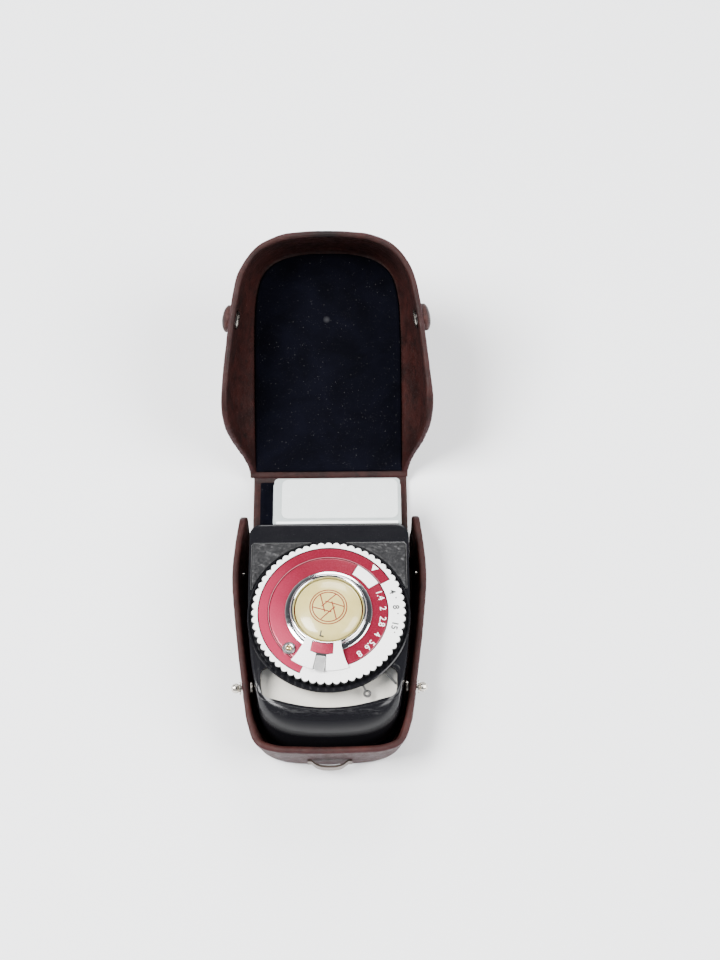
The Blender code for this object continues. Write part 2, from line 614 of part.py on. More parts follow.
def build_disc():
    top = RING_Z[1]
    disc = turned([(2.7, top - 2.0), (RED_DISC_R, top - 2.0), (RED_DISC_R, top - 0.1),
                   (RED_DISC_R - 0.3, top + 0.1), (2.7, top + 0.1)], 72)
    ob = finish_mesh("red_disc", disc, CRIMSON)
    combine(ob, cutter("cut_speed_window", prism(sector(17.7, 24.0, 34.0, 58.0, 8), top - 0.7, 40)))
    window = sector(18.0, 21.2, 35.0, 57.0, 8)
    finish_mesh("speed_window_plate", prism(window, top - 0.4, top + 0.05), ALUMINIUM)
    knob_r, knob_angle = KNOB_PLACE
    knob_place = (knob_r * cos(radians(knob_angle)), knob_r * sin(radians(knob_angle)))
    knob = [(0, top + 0.4), (2.3, top + 0.4), (2.3, top + 0.9), (1.6, top + 1.2), (1.0, top + 1.1)]
    knob += [(0.9, top + 1.5), (0, top + 1.6)]
    finish_mesh("setting_rivet", turned(knob, 20, knob_place), BRASS)
    chrome = [(12.4, top + 0.4), (15.3, top + 0.4), (15.6, top + 0.6), (15.4, top + 1.0), (14.3, top + 1.25),
              (14.1, top + 1.4), (13.9, top + 2.6), (13.3, top + 3.0), (12.7, top + 2.8), (12.4, top + 2.2)]
    finish_mesh("chrome_bezel", turned(chrome, 60), CHROME)
    dome = [(0, top + 0.4), (CAP_R, top + 0.4)]
    rise = CAP_TOP_Z - (top + 2.0)
    for i in range(8):
        a = radians(90 * i / 8)
        dome.append((CAP_R * cos(a), top + 2.0 + rise * sin(a)))
    dome.append((0, CAP_TOP_Z))
    finish_mesh("centre_cap", turned(dome, 48), CREAM)
    turn = Matrix.Rotation(radians(INDEX_ANGLE - 270), 4, "Z")
    wings = sector(16.0, 22.9, 244.5, 295.5, 14)
    ob = finish_mesh("index_sector", prism(wings, top + 0.4, top + 0.8), ALUMINIUM, turn)
    combine(ob, cutter("cut_index_gap", box((-3.4, -18.6, 20), (3.4, -15, 50)), turn))
    slider = [(-2.6, -23.9), (2.6, -23.9), (2.6, -18.9), (1.8, -18.5), (-1.8, -18.5), (-2.6, -18.9)]
    finish_mesh("index_slider", prism(slider, top + 1.1, top + 1.6), CHROME, turn)


def build_dial_seat():
    finish_mesh("dial_bezel", turned([(26.2, TOP_Z + GAP), (29.4, TOP_Z + GAP), (29.2, TOP_Z + 0.8),
                                      (26.2, TOP_Z + 0.8)], 72), BAKELITE)
    spindle = [(0, 23.6), (4.2, 23.6), (4.2, 24.2), (2.3, 24.2), (2.3, 33.1), (0, 33.1)]
    finish_mesh("dial_spindle", turned(spindle, 24), BRASS)
    washer = [(2.7, TOP_Z + GAP), (7.5, TOP_Z + GAP), (7.5, TOP_Z + 0.6), (2.7, TOP_Z + 1.1)]
    finish_mesh("spring_washer", turned(washer, 32), STEEL)


# ---------------------------------------------------------------- movement

def build_movement():
    px, py = PIVOT
    upright = Matrix.Translation((px, py, 0)) @ Matrix.Rotation(pi / 2, 4, "X")
    frame = prism(rectangle(-15.0, 6.0, 15.0, 24.1), -1.6, 1.6)
    ob = finish_mesh("movement_frame", frame, BRASS, upright)
    opening = prism(rectangle(-13.6, 7.0, 13.6, 23.2), -9, 9)
    combine(ob, cutter("cut_frame_middle", opening, upright))
    magnet = [(8.6, 9.6), (12.4, 9.6), (12.4, 17.6), (8.6, 17.6)]
    finish_mesh("magnet_ring", turned(magnet, 36, PIVOT), MAGNET)
    finish_mesh("iron_core", turned([(0, 10.2), (6.0, 10.2), (6.0, 17.0), (0, 17.0)], 28, PIVOT), STEEL)
    coil = finish_mesh("coil_frame", prism(rectangle(-7.9, 8.8, 7.9, 18.6), -1.1, 1.1), COPPER, upright)
    combine(coil, cutter("cut_coil_middle", prism(rectangle(-6.5, 9.7, 6.5, 17.7), -5, 5), upright))
    for name, low, high in (("lower", 7.4, 9.2), ("upper", 18.2, 22.0)):
        stub = turned([(0, low), (0.5, low), (0.5, high), (0, high)], 12, PIVOT)
        combine(coil, cutter(f"add_pivot_{name}", stub), "UNION")
    turn = Matrix.Translation((px, py, 0)) @ Matrix.Rotation(radians(NEEDLE_ANGLE), 4, "Z")
    arm = [(-6.0, -1.2), (-2.0, -0.9), (2.0, -0.6), (NEEDLE_LENGTH, -0.2), (NEEDLE_LENGTH, 0.2), (2.0, 0.6),
           (-2.0, 0.9), (-6.0, 1.2)]
    finish_mesh("needle", prism(arm, NEEDLE_Z, NEEDLE_Z + 0.45), BAKELITE, turn)
    build_hairspring()
    build_pointer()
    finish_mesh("series_resistor", turned([(0, -4), (1.5, -4), (1.5, 4), (0, 4)], 16), CARD,
                Matrix.Translation((-19.5, 8, 9)) @ Matrix.Rotation(pi / 2, 4, "X"))


def build_hairspring():
    """A flat spiral round the needle's lower pivot."""
    turns, steps, start_r, pitch, thick = 3, 20, 1.0, 0.75, 0.25
    outer, inner = [], []
    for i in range(turns * steps + 1):
        a = 2 * pi * i / steps
        r = start_r + pitch * a / (2 * pi)
        outer.append((PIVOT[0] + (r + thick) * cos(a), PIVOT[1] + (r + thick) * sin(a)))
        inner.append((PIVOT[0] + r * cos(a), PIVOT[1] + r * sin(a)))
    finish_mesh("hairspring", prism(outer + inner[::-1], 7.6, 8.2), BRASS)


def build_pointer():
    turn = Matrix.Rotation(radians(POINTER_ANGLE), 4, "Z")
    hub = turned([(2.75, POINTER_Z), (4.6, POINTER_Z), (4.6, POINTER_Z + 0.5), (2.75, POINTER_Z + 0.5)], 28)
    ob = finish_mesh("match_pointer", hub, BAKELITE, turn)
    end = POINTER_R - 1.4
    arm = [(3.8, -0.6), (end, -0.3), (end, 0.3), (3.8, 0.6)]
    combine(ob, cutter("add_arm", prism(arm, POINTER_Z + 0.05, POINTER_Z + 0.45), turn), "UNION")
    eye = [(1.0, POINTER_Z + 0.02), (1.9, POINTER_Z + 0.02), (1.9, POINTER_Z + 0.48), (1.0, POINTER_Z + 0.48)]
    combine(ob, cutter("add_eye", turned(eye, 20, (POINTER_R, 0)), turn), "UNION")


def main():
    clear_scene()
    build_tray()
    build_tray_lining()
    build_studs()
    build_wall_rivets()
    build_strap_loop()
    build_neck()
    build_lid()
    build_lid_lining()
    build_snaps()
    build_casing()
    build_back_cover()
    build_screws()
    build_panels()
    build_window()
    build_cell()
    build_flap()
    build_dial_ring()
    build_disc()
    build_dial_seat()
    build_movement()


main()
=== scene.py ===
"""Looks of the handheld light meter in its opened leather case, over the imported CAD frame.

Working sizes are millimetres in the row frame; they become metres when a piece is finished.
"""

from math import atan2, cos, degrees, hypot, pi, radians, sin

import bmesh
import bpy
import numpy as np
from mathutils import Matrix, Vector, noise


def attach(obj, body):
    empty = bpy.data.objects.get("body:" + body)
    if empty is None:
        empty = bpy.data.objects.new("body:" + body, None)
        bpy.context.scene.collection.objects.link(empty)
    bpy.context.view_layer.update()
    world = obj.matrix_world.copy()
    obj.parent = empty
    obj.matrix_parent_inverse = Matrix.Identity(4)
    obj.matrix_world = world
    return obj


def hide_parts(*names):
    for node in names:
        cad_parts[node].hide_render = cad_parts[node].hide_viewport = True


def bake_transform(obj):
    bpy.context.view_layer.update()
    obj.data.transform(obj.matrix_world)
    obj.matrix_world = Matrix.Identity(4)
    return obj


MM = 0.001
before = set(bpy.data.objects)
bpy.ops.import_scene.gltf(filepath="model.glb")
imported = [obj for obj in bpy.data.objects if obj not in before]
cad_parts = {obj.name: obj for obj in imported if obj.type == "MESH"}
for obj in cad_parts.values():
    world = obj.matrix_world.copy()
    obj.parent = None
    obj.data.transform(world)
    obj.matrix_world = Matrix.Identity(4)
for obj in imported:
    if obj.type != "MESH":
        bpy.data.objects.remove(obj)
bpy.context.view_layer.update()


# ---------------------------------------------------------------- camera

CAMERA_PLACE = (0.01175, -0.24691, 0.59576)
CAMERA_DOWN = radians(61.88)      # how steeply it looks down
CAMERA_ROLL = radians(-0.52)
CAMERA_LENS = 63.75


def linked(name, data):
    """A new object for this data, linked to the scene."""
    ob = bpy.data.objects.new(name, data)
    bpy.context.scene.collection.objects.link(ob)
    return ob


def make_camera():
    data = bpy.data.cameras.new("camera")
    data.lens = CAMERA_LENS
    data.sensor_width = 36.0
    data.clip_start, data.clip_end = 0.01, 20.0
    camera = linked("camera", data)
    ahead = Vector((0, cos(CAMERA_DOWN), -sin(CAMERA_DOWN)))
    level = Vector((1, 0, 0))
    below = Vector((0, -sin(CAMERA_DOWN), -cos(CAMERA_DOWN)))
    right = cos(CAMERA_ROLL) * level - sin(CAMERA_ROLL) * below
    down = sin(CAMERA_ROLL) * level + cos(CAMERA_ROLL) * below
    turn = Matrix((right, -down, -ahead)).transposed()
    camera.matrix_world = Matrix.Translation(CAMERA_PLACE) @ turn.to_4x4()
    bpy.context.scene.camera = camera


make_camera()


# ---------------------------------------------------------------- sizes shared with the CAD

TRAY_LEATHER = 2.6
LID_LEATHER = 2.4
TRAY_RIM_Z = 20.5
TRAY_END_Y = 35.7
EAR_TIP_Y = 48.5
LID_AXIS = (70.5, 3.0)
LID_TILT = 30.0
LID_CENTRE_X = -0.5
LID_RIM_H = 29.5
SNAP_X, SNAP_S, SNAP_H, SNAP_TURN = 36.6, 62.0, 23.0, 8.4
SNAP_CAP_R, SNAP_CAP_RISE = 5.2, 2.1
DIMPLE, DIMPLE_R, DIMPLE_DEPTH = (-0.35, 62.8), 1.1, 0.5
NECK_HALF_WIDTH = 30.2
NECK_TOP_Z = 2.6
BASE_Z, TOP_Z = 4.2, 29.3
WALL, PLATE, END_Y = 1.8, 1.2, 37.5
FOOT_Y, LIP_Y, HALF_WIDTH = -42.7, -36.4, 29.5
CELL_X = (-21.2, 27.3)
FLAP_X, FLAP_Y, FLAP_TOP_Z, FLAP_DEPTH = (-20.6, 26.8), (37.8, 57.4), 28.8, 4.8
TIP_R, TEETH, RING_Z = 28.0, 60, (30.5, 33.0)
RED_SPAN = (30.0, 246.0)
CAP_R, CAP_TOP_Z = 12.0, 38.0
WING_R = (13.2, 22.9)             # where the index wings start and end
NEEDLE_PIVOT_Y, NEEDLE_ANGLE, POINTER_ANGLE = 7.0, -52.0, -64.2
FLAP_PIN = (36.0, 26.9)
NECK_SEAM_Y, NECK_STEP = 53.0, 0.8
SHARP_ANGLE = 38
FLOOR_DROP = 0.0004               # metres below the lowest leather
INDEX_ANGLE = 261.5


def lid_place():
    return (Matrix.Translation((LID_CENTRE_X, LID_AXIS[0], LID_AXIS[1]))
            @ Matrix.Rotation(radians(LID_TILT), 4, "X"))


def snap_place(side):
    return (lid_place() @ Matrix.Translation((side * SNAP_X, SNAP_S, SNAP_H))
            @ Matrix.Rotation(side * radians(SNAP_TURN), 4, "Z") @ Matrix.Rotation(side * pi / 2, 4, "Y"))


# ---------------------------------------------------------------- materials

class Look:
    """A small builder for one procedural material. Texture sizes are millimetres."""

    def __init__(self, name):
        self.mat = bpy.data.materials.new(name)
        self.mat.use_nodes = True
        self.tree = self.mat.node_tree
        self.shader = self.tree.nodes["Principled BSDF"]
        self.coord = self.add("ShaderNodeTexCoord").outputs["Object"]

    def add(self, kind, **values):
        node = self.tree.nodes.new(kind)
        for key, value in values.items():
            setattr(node, key, value)
        return node

    def put(self, socket, value):
        if isinstance(value, bpy.types.NodeSocket):
            self.tree.links.new(value, socket)
        elif isinstance(value, (tuple, list)) and len(value) == 3 and socket.type == "RGBA":
            socket.default_value = (*value, 1.0)
        else:
            socket.default_value = value

    def set(self, **values):
        for key, value in values.items():
            self.put(self.shader.inputs[key.replace("_", " ")], value)

    def noise(self, size, detail=4.0, rough=0.55, twist=0.0, stretch=None):
        node = self.add("ShaderNodeTexNoise")
        self.put(node.inputs["Vector"], self.stretched(stretch) if stretch else self.coord)
        node.inputs["Scale"].default_value = 1000.0 / size
        node.inputs["Detail"].default_value = detail
        node.inputs["Roughness"].default_value = rough
        node.inputs["Distortion"].default_value = twist
        return node.outputs["Fac"]

    def stretched(self, factors):
        node = self.add("ShaderNodeMapping")
        self.put(node.inputs["Vector"], self.coord)
        node.inputs["Scale"].default_value = factors
        return node.outputs["Vector"]

    def cells(self, size, feature="F1"):
        node = self.add("ShaderNodeTexVoronoi", feature=feature)
        self.put(node.inputs["Vector"], self.coord)
        node.inputs["Scale"].default_value = 1000.0 / size
        return node.outputs["Distance"]

    def ramp(self, factor, *stops):
        node = self.add("ShaderNodeValToRGB")
        self.put(node.inputs["Fac"], factor)
        band = node.color_ramp
        while len(band.elements) < len(stops):
            band.elements.new(0.5)
        for element, (place, color) in zip(band.elements, stops):
            element.position = place
            element.color = (color, color, color, 1.0) if isinstance(color, (int, float)) else (*color, 1.0)
        return node.outputs["Color"]

    def blend(self, factor, first, second):
        node = self.add("ShaderNodeMix", data_type="RGBA")
        self.put(node.inputs[0], factor)
        self.put(node.inputs[6], first)
        self.put(node.inputs[7], second)
        return node.outputs[2]

    def calc(self, how, first, second):
        node = self.add("ShaderNodeMath", operation=how)
        self.put(node.inputs[0], first)
        self.put(node.inputs[1], second)
        return node.outputs[0]

    def bump(self, height, depth, under=None, strength=1.0):
        node = self.add("ShaderNodeBump")
        node.inputs["Strength"].default_value = strength
        node.inputs["Distance"].default_value = depth * MM
        self.put(node.inputs["Height"], height)
        if under is not None:
            self.put(node.inputs["Normal"], under)
        return node.outputs["Normal"]

    def painted(self, name):
        return self.add("ShaderNodeAttribute", attribute_name=name).outputs["Fac"]

    def axis(self, which, source=None):
        node = self.add("ShaderNodeSeparateXYZ")
        self.put(node.inputs[0], source or self.coord)
        return node.outputs["XYZ".index(which)]

    def facing(self, which):
        return self.axis(which, self.add("ShaderNodeTexCoord").outputs["Normal"])


def scaled(color, factor):
    return tuple(factor * c for c in color)


def leather_look(name, dark, light, outside):
    """Old vegetable-tanned leather: dark fibrous inside, greyer smooth outside, edges rubbed pale, and the
    same pale brown painted as light on shaded faces.
    """
    k = Look(name)
    cloud = k.noise(9.0, 5, 0.6, 0.4)
    fibre = k.noise(0.5, 6, 0.7, 1.2)
    grain = k.cells(0.55)
    inner = k.blend(k.ramp(cloud, (0.36, 0.0), (0.66, 1.0)), dark, light)
    inner = k.blend(k.ramp(fibre, (0.5, 0.0), (0.72, 0.42)), inner, tuple(1.6 * c + 0.003 for c in light))
    inner = k.blend(k.ramp(k.noise(3.2, 3, 0.6), (0.56, 0.0), (0.68, 0.55)), inner, scaled(dark, 0.35))
    outer = k.blend(k.ramp(cloud, (0.3, 0.0), (0.7, 1.0)), outside, scaled(outside, 1.5))
    outer = k.blend(k.ramp(k.noise(1.3, 5, 0.7), (0.6, 0.0), (0.72, 0.6)), outer, scaled(outside, 2.6))
    color = k.blend(k.painted("outer"), inner, outer)
    # The wear_and_light mix lightens rubbed edges and also paints light onto the shaded faces that build_tray
    # marks.
    worn_and_lit = k.calc("MULTIPLY", k.painted("wear_and_light"), k.ramp(k.noise(1.6, 6, 0.7), (0.38, 0.15), (0.62, 1.0)))
    color = k.blend(worn_and_lit, color, (0.10, 0.038, 0.031))
    color = k.blend(k.painted("stain"), color, scaled(dark, 0.25))
    rough = k.ramp(k.noise(2.2, 4), (0.3, 0.5), (0.7, 0.7))
    normal = k.bump(fibre, 0.10, None, 0.8)
    normal = k.bump(grain, 0.07, normal, 0.7)
    normal = k.bump(k.noise(5.0, 4, 0.6, 0.8), 0.5, normal, 0.5)
    k.set(Base_Color=color, Roughness=rough, Normal=normal)
    k.set(Specular_IOR_Level=0.22)
    return k.mat


def velvet_look():
    """Blue-black pile with lint, dust and a pale spot painted as a highlight on the dimple pressed into it
    near the lid's middle.
    """
    k = Look("velvet lining")
    tone = k.blend(k.ramp(k.noise(14, 4, 0.6, 0.5), (0.35, 0.0), (0.7, 1.0)),
                   (0.0006, 0.0007, 0.0021), (0.0018, 0.0020, 0.0050))
    # Painted highlight: a pale spot centred on the dimple in the lid's lining.
    near = k.add("ShaderNodeVectorMath", operation="DISTANCE")
    k.put(near.inputs[0], k.coord)
    near.inputs[1].default_value = (lid_place() @ Vector((*DIMPLE, 1.15))) * MM
    spot = k.ramp(k.calc("MULTIPLY", near.outputs["Value"], 400.0), (0.05, 0.5), (0.6, 0.0))
    tone = k.blend(spot, tone, (0.06, 0.06, 0.065))
    lint = k.ramp(k.noise(0.9, 2, 0.5, 3.0), (0.70, 0.0), (0.74, 0.7))
    dust = k.ramp(k.cells(1.9), (0.035, 0.7), (0.07, 0.0))
    tone = k.blend(lint, tone, (0.05, 0.05, 0.055))
    tone = k.blend(dust, tone, (0.12, 0.12, 0.12))
    normal = k.bump(k.noise(0.28, 3, 0.7), 0.09, None, 0.9)
    normal = k.bump(k.noise(6.0, 3), 0.35, normal, 0.35)
    k.set(Base_Color=tone, Roughness=0.85, Normal=normal)
    k.set(Sheen_Weight=0.005, Specular_IOR_Level=0.04)
    k.set(Sheen_Roughness=0.4, Sheen_Tint=(0.35, 0.4, 0.6, 1.0))
    return k.mat


def enamel_look():
    """Glossy black with a fine grey streak just below the window and a painted highlight line round the foot.
    """
    k = Look("black enamel")
    down = k.calc("MULTIPLY", k.axis("Y"), -10.0)
    high = k.axis("Z")
    streak = k.calc("MULTIPLY", k.ramp(down, (0.354, 0.0), (0.360, 1.0)),
                    k.ramp(down, (0.364, 1.0), (0.376, 0.0)))
    streak = k.calc("MULTIPLY", streak, k.ramp(high, (0.0262, 0.0), (0.0275, 1.0)))
    streak = k.calc("MULTIPLY", streak,
                    k.ramp(k.noise(1.1, 6, 0.75, 0.4, (0.25, 1.0, 1.0)), (0.48, 0.0), (0.72, 0.4)))
    # Painted highlight: a pale line at the front where the foot's wall turns into the slope.
    ridge_highlight = k.calc("MULTIPLY", k.ramp(high, (0.0219, 0.0), (0.0226, 1.0)),
                   k.ramp(high, (0.0232, 1.0), (0.0240, 0.0)))
    ridge_highlight = k.calc("MULTIPLY", ridge_highlight, k.ramp(down, (0.335, 0.0), (0.36, 0.5)))
    dust = k.ramp(k.noise(0.5, 3, 0.6), (0.69, 0.0), (0.74, 0.35))
    color = k.blend(dust, (0.006, 0.006, 0.0075), (0.07, 0.07, 0.07))
    # The grey streak and the painted highlight line share one pale grey.
    color = k.blend(k.calc("MAXIMUM", streak, ridge_highlight), color, (0.09, 0.09, 0.09))
    rough = k.blend(streak, k.ramp(k.noise(5.0, 5, 0.6), (0.35, 0.15), (0.7, 0.22)), (0.3, 0.3, 0.3))
    normal = k.bump(k.noise(1.8, 3), 0.03, None, 0.12)
    k.set(Base_Color=color, Roughness=rough, Normal=normal)
    k.set(Specular_IOR_Level=k.ramp(high, (0.0235, 0.06), (0.0278, 0.26)))
    return k.mat


def pebble_look():
    k = Look("pebbled leatherette")
    lumps = k.cells(1.05, "SMOOTH_F1")
    wrinkle = k.noise(1.5, 5, 0.65, 1.4)
    height = k.calc("ADD", k.calc("MULTIPLY", lumps, -0.7), wrinkle)
    color = k.blend(k.ramp(wrinkle, (0.36, 0.0), (0.64, 1.0)), (0.003, 0.003, 0.004), (0.014, 0.014, 0.015))
    color = k.blend(k.ramp(k.noise(0.5, 3), (0.66, 0.0), (0.74, 0.4)), color, (0.10, 0.10, 0.10))
    k.set(Base_Color=color, Roughness=0.4, Normal=k.bump(height, 0.22, None, 0.5))
    k.set(Specular_IOR_Level=0.35)
    return k.mat


def ring_look():
    """White-filled top face over black-stained tooth flanks."""
    k = Look("white and black ring")
    up = k.ramp(k.facing("Z"), (0.55, 0.0), (0.8, 1.0))
    grime = k.ramp(k.noise(1.4, 6, 0.7), (0.6, 0.0), (0.78, 0.35))
    white = k.blend(grime, (0.97, 0.97, 0.96), (0.6, 0.59, 0.57))
    color = k.blend(up, (0.010, 0.010, 0.011), white)
    rough = k.blend(up, (0.16, 0.16, 0.16), k.ramp(k.noise(2.5), (0.3, 0.25), (0.7, 0.42)))
    k.set(Base_Color=color, Roughness=rough, Normal=k.bump(k.noise(0.7, 4), 0.02, None, 0.4))
    return k.mat


def white_look():
    k = Look("white enamel")
    tone = (0.96, 0.96, 0.95)
    grime = k.ramp(k.noise(0.9, 6, 0.7), (0.6, 0.0), (0.72, 0.5))
    color = k.blend(grime, tone, scaled(tone, 0.45))
    k.set(Base_Color=color, Roughness=k.ramp(k.noise(2.0), (0.3, 0.28), (0.7, 0.45)),
          Normal=k.bump(k.noise(0.6, 4), 0.02, None, 0.4))
    return k.mat


def crimson_look():
    k = Look("crimson lacquer")
    speck = k.noise(0.5, 2, 0.5)
    # Painted light: the lacquer is painted lighter towards the lower left, standing for the light that falls
    # there.
    lower_left_light = k.ramp(k.calc("ADD", k.calc("MULTIPLY", k.axis("X"), -22.0),
                         k.calc("MULTIPLY", k.axis("Y"), -12.0)),
                  (0.0, 0.0), (0.55, 1.0))
    color = k.blend(lower_left_light, (0.17, 0.001, 0.016), (0.36, 0.018, 0.060))
    color = k.blend(k.ramp(speck, (0.4, 0.0), (0.7, 0.12)), color, (0.52, 0.09, 0.15))
    k.set(Base_Color=color, Metallic=0.3, Roughness=k.ramp(k.noise(9.0, 2), (0.3, 0.30), (0.7, 0.36)),
          Normal=k.bump(k.noise(2.5, 2), 0.006, None, 0.3))
    k.set(Coat_Weight=0.25, Coat_Roughness=0.1)
    return k.mat


def metal_look(name, color, low=0.08, high=0.22, tarnish=0.25, size=2.0):
    k = Look(name)
    film = k.ramp(k.noise(size, 6, 0.65, 0.3), (0.45, 0.0), (0.75, tarnish))
    shade = k.blend(film, color, scaled(color, 0.35))
    k.set(Base_Color=shade, Metallic=1.0,
          Roughness=k.ramp(k.noise(size * 0.6, 5, 0.6), (0.3, low), (0.75, high)),
          Normal=k.bump(k.noise(0.4, 3), 0.008, None, 0.4))
    return k.mat


def cream_look():
    k = Look("cream enamel")
    color = k.blend(k.ramp(k.noise(5.0, 4), (0.35, 0.0), (0.7, 1.0)), (0.50, 0.41, 0.135), (0.58, 0.49, 0.19))
    color = k.blend(k.ramp(k.noise(0.7, 5, 0.7), (0.69, 0.0), (0.75, 0.4)), color, (0.35, 0.28, 0.16))
    k.set(Base_Color=color, Roughness=0.3, Normal=k.bump(k.noise(3.0, 3), 0.03, None, 0.2))
    k.set(Coat_Weight=0.6, Coat_Roughness=0.08)
    return k.mat


def card_look():
    k = Look("scale card")
    color = k.blend(k.ramp(k.noise(7.0, 5), (0.35, 0.0), (0.7, 1.0)), (0.62, 0.59, 0.52), (0.70, 0.67, 0.60))
    color = k.blend(k.ramp(k.noise(0.5, 3), (0.70, 0.0), (0.76, 0.5)), color, (0.3, 0.28, 0.24))
    k.set(Base_Color=color, Roughness=0.6, Normal=k.bump(k.noise(0.4), 0.01))
    return k.mat


def opal_look(name="opal plastic", tone=(0.70, 0.735, 0.73)):
    k = Look(name)
    pale = tuple(min(1.0, 1.07 * c) for c in tone)
    color = k.blend(k.ramp(k.noise(8.0, 4), (0.35, 0.0), (0.7, 1.0)), tone, pale)
    color = k.blend(k.ramp(k.noise(0.6, 4, 0.7), (0.68, 0.0), (0.76, 0.25)), color, (0.4, 0.4, 0.38))
    k.set(Base_Color=color, Roughness=k.ramp(k.noise(3.0), (0.3, 0.16), (0.7, 0.3)),
          Normal=k.bump(k.noise(2.5, 3), 0.03, None, 0.25))
    k.set(Subsurface_Weight=0.35, Subsurface_Radius=(0.002, 0.002, 0.002))
    k.set(Subsurface_Scale=1.0)
    return k.mat


def clear_look():
    k = Look("clear window")
    film = k.ramp(k.noise(1.2, 6, 0.7), (0.55, 0.02), (0.78, 0.06))
    k.set(Base_Color=(0.93, 0.95, 0.95), Roughness=k.ramp(k.noise(4.0), (0.3, 0.03), (0.7, 0.12)), Alpha=film)
    return k.mat


def flat_look(name, color, rough=0.5, metal=0.0):
    k = Look(name)
    shade = k.blend(k.ramp(k.noise(0.8, 5, 0.7), (0.4, 0.0), (0.75, 0.6)), color, scaled(color, 0.6))
    k.set(Base_Color=shade, Roughness=rough, Metallic=metal, Normal=k.bump(k.noise(0.5), 0.015))
    return k.mat


OUTSIDE = (0.022, 0.0048, 0.0056)
LEATHER = leather_look("leather", (0.0085, 0.0018, 0.0015), (0.025, 0.0053, 0.0041), OUTSIDE)
# Painted light: the tray's leather is the lid's leather painted lighter inside, standing for light reaching
# into its shaded walls.
LIT_TRAY_HIDE = leather_look("tray leather painted lighter", (0.014, 0.0030, 0.0026), (0.030, 0.0064, 0.0052), OUTSIDE)
VELVET = velvet_look()
ENAMEL = enamel_look()
PEBBLE = pebble_look()
RING = ring_look()
WHITE = white_look()
CRIMSON = crimson_look()
CHROME = metal_look("chrome", (0.82, 0.83, 0.84), 0.05, 0.16, 0.12)
NICKEL = metal_look("nickel", (0.62, 0.58, 0.52), 0.16, 0.36, 0.5)
BRUSHED = metal_look("brushed aluminium", (0.78, 0.78, 0.77), 0.32, 0.46, 0.1)
BRONZE = metal_look("bronzed strip", (0.13, 0.105, 0.09), 0.3, 0.45, 0.4)
DARK_NICKEL = metal_look("dark nickel", (0.25, 0.24, 0.23), 0.2, 0.42, 0.6)
BRASS = metal_look("brass", (0.62, 0.46, 0.22), 0.16, 0.34, 0.5)
STEEL = metal_look("steel", (0.50, 0.50, 0.50), 0.22, 0.4, 0.4)
COPPER = metal_look("copper winding", (0.55, 0.24, 0.13), 0.25, 0.4, 0.4, 0.6)
MAGNET = metal_look("magnet alloy", (0.22, 0.22, 0.24), 0.35, 0.55, 0.4)
CREAM = cream_look()
CARD = card_look()
OPAL = opal_look()
# Painted shade: the flap's shell and backing take the opal painted darker grey, standing for the shade on its
# side walls and border as well as its thin translucent edge.
SHADED_OPAL = opal_look("flap opal painted in shade", (0.42, 0.46, 0.46))
CLEAR = clear_look()
SELENIUM = flat_look("selenium cell", (0.09, 0.085, 0.08), 0.3, 0.4)
INK = flat_look("red ink", (0.20, 0.018, 0.012), 0.4)
BLACK_INK = flat_look("black ink", (0.01, 0.01, 0.01), 0.4)
GREY_INK = flat_look("grey ink", (0.016, 0.016, 0.017), 0.5)
GROOVE = flat_look("dark groove", (0.002, 0.002, 0.002), 0.8)
PALE_EDGE = flat_look("pale edge", (0.06, 0.06, 0.06), 0.3)
PALE_CRIMSON = flat_look("pale crimson line", (0.55, 0.16, 0.20), 0.3)


# ---------------------------------------------------------------- geometry helpers

def loft(rings, closed=False):
    bm = bmesh.new()
    rows = [[bm.verts.new(p) for p in ring] for ring in rings]
    pairs = list(zip(rows, rows[1:]))
    if closed:
        pairs.append((rows[-1], rows[0]))
    for low, high in pairs:
        for i in range(len(low)):
            j = (i + 1) % len(low)
            bm.faces.new((low[i], low[j], high[j], high[i]))
    if not closed:
        bm.faces.new(rows[0])
        bm.faces.new(rows[-1])
    return bm


def flat_ring(outline, z):
    return [(x, y, z) for x, y in outline]


def prism(outline, low, high):
    return loft([flat_ring(outline, low), flat_ring(outline, high)])


def box(low, high):
    (x0, y0, z0), (x1, y1, z1) = low, high
    return prism([(x0, y0), (x1, y0), (x1, y1), (x0, y1)], z0, z1)


def circle(radius, count, centre=(0.0, 0.0)):
    steps = [2 * pi * i / count for i in range(count)]
    return [(centre[0] + radius * cos(a), centre[1] + radius * sin(a)) for a in steps]


def turned(profile, count=128, centre=(0.0, 0.0)):
    solid = profile[0][0] == 0 and profile[-1][0] == 0
    if not solid:
        return loft([flat_ring(circle(r, count, centre), z) for r, z in profile], closed=True)
    bm = bmesh.new()
    rows = [[bm.verts.new((x, y, z)) for x, y in circle(r, count, centre)] for r, z in profile[1:-1]]
    ends = [bm.verts.new((centre[0], centre[1], profile[i][1])) for i in (0, -1)]
    for low, high in zip(rows, rows[1:]):
        for i in range(count):
            j = (i + 1) % count
            bm.faces.new((low[i], low[j], high[j], high[i]))
    for end, row in zip(ends, (rows[0], rows[-1])):
        for i in range(count):
            bm.faces.new((end, row[i], row[(i + 1) % count]))
    return bm


def curve_at(p, q, r, s, t):
    """The smooth curve from q (t = 0) to r (t = 1), with p and s as its neighbours."""
    bend = 2 * p - 5 * q + 4 * r - s
    twist = 3 * q - p - 3 * r + s
    return 0.5 * (2 * q + (r - p) * t + bend * t * t + twist * t ** 3)


def smooth_path(points, steps):
    out = []
    ends = [points[0]] + list(points) + [points[-1]]
    for a, b, c, d in zip(ends, ends[1:], ends[2:], ends[3:]):
        for i in range(steps):
            t = i / steps
            out.append(tuple(curve_at(*values, t) for values in zip(a, b, c, d)))
    out.append(tuple(points[-1]))
    return out


def inset(outline, distance):
    out = []
    for i, (x, y) in enumerate(outline):
        (ax, ay), (bx, by) = outline[i - 1], outline[(i + 1) % len(outline)]
        length = hypot(bx - ax, by - ay)
        out.append((x - (by - ay) / length * distance, y + (bx - ax) / length * distance))
    return out


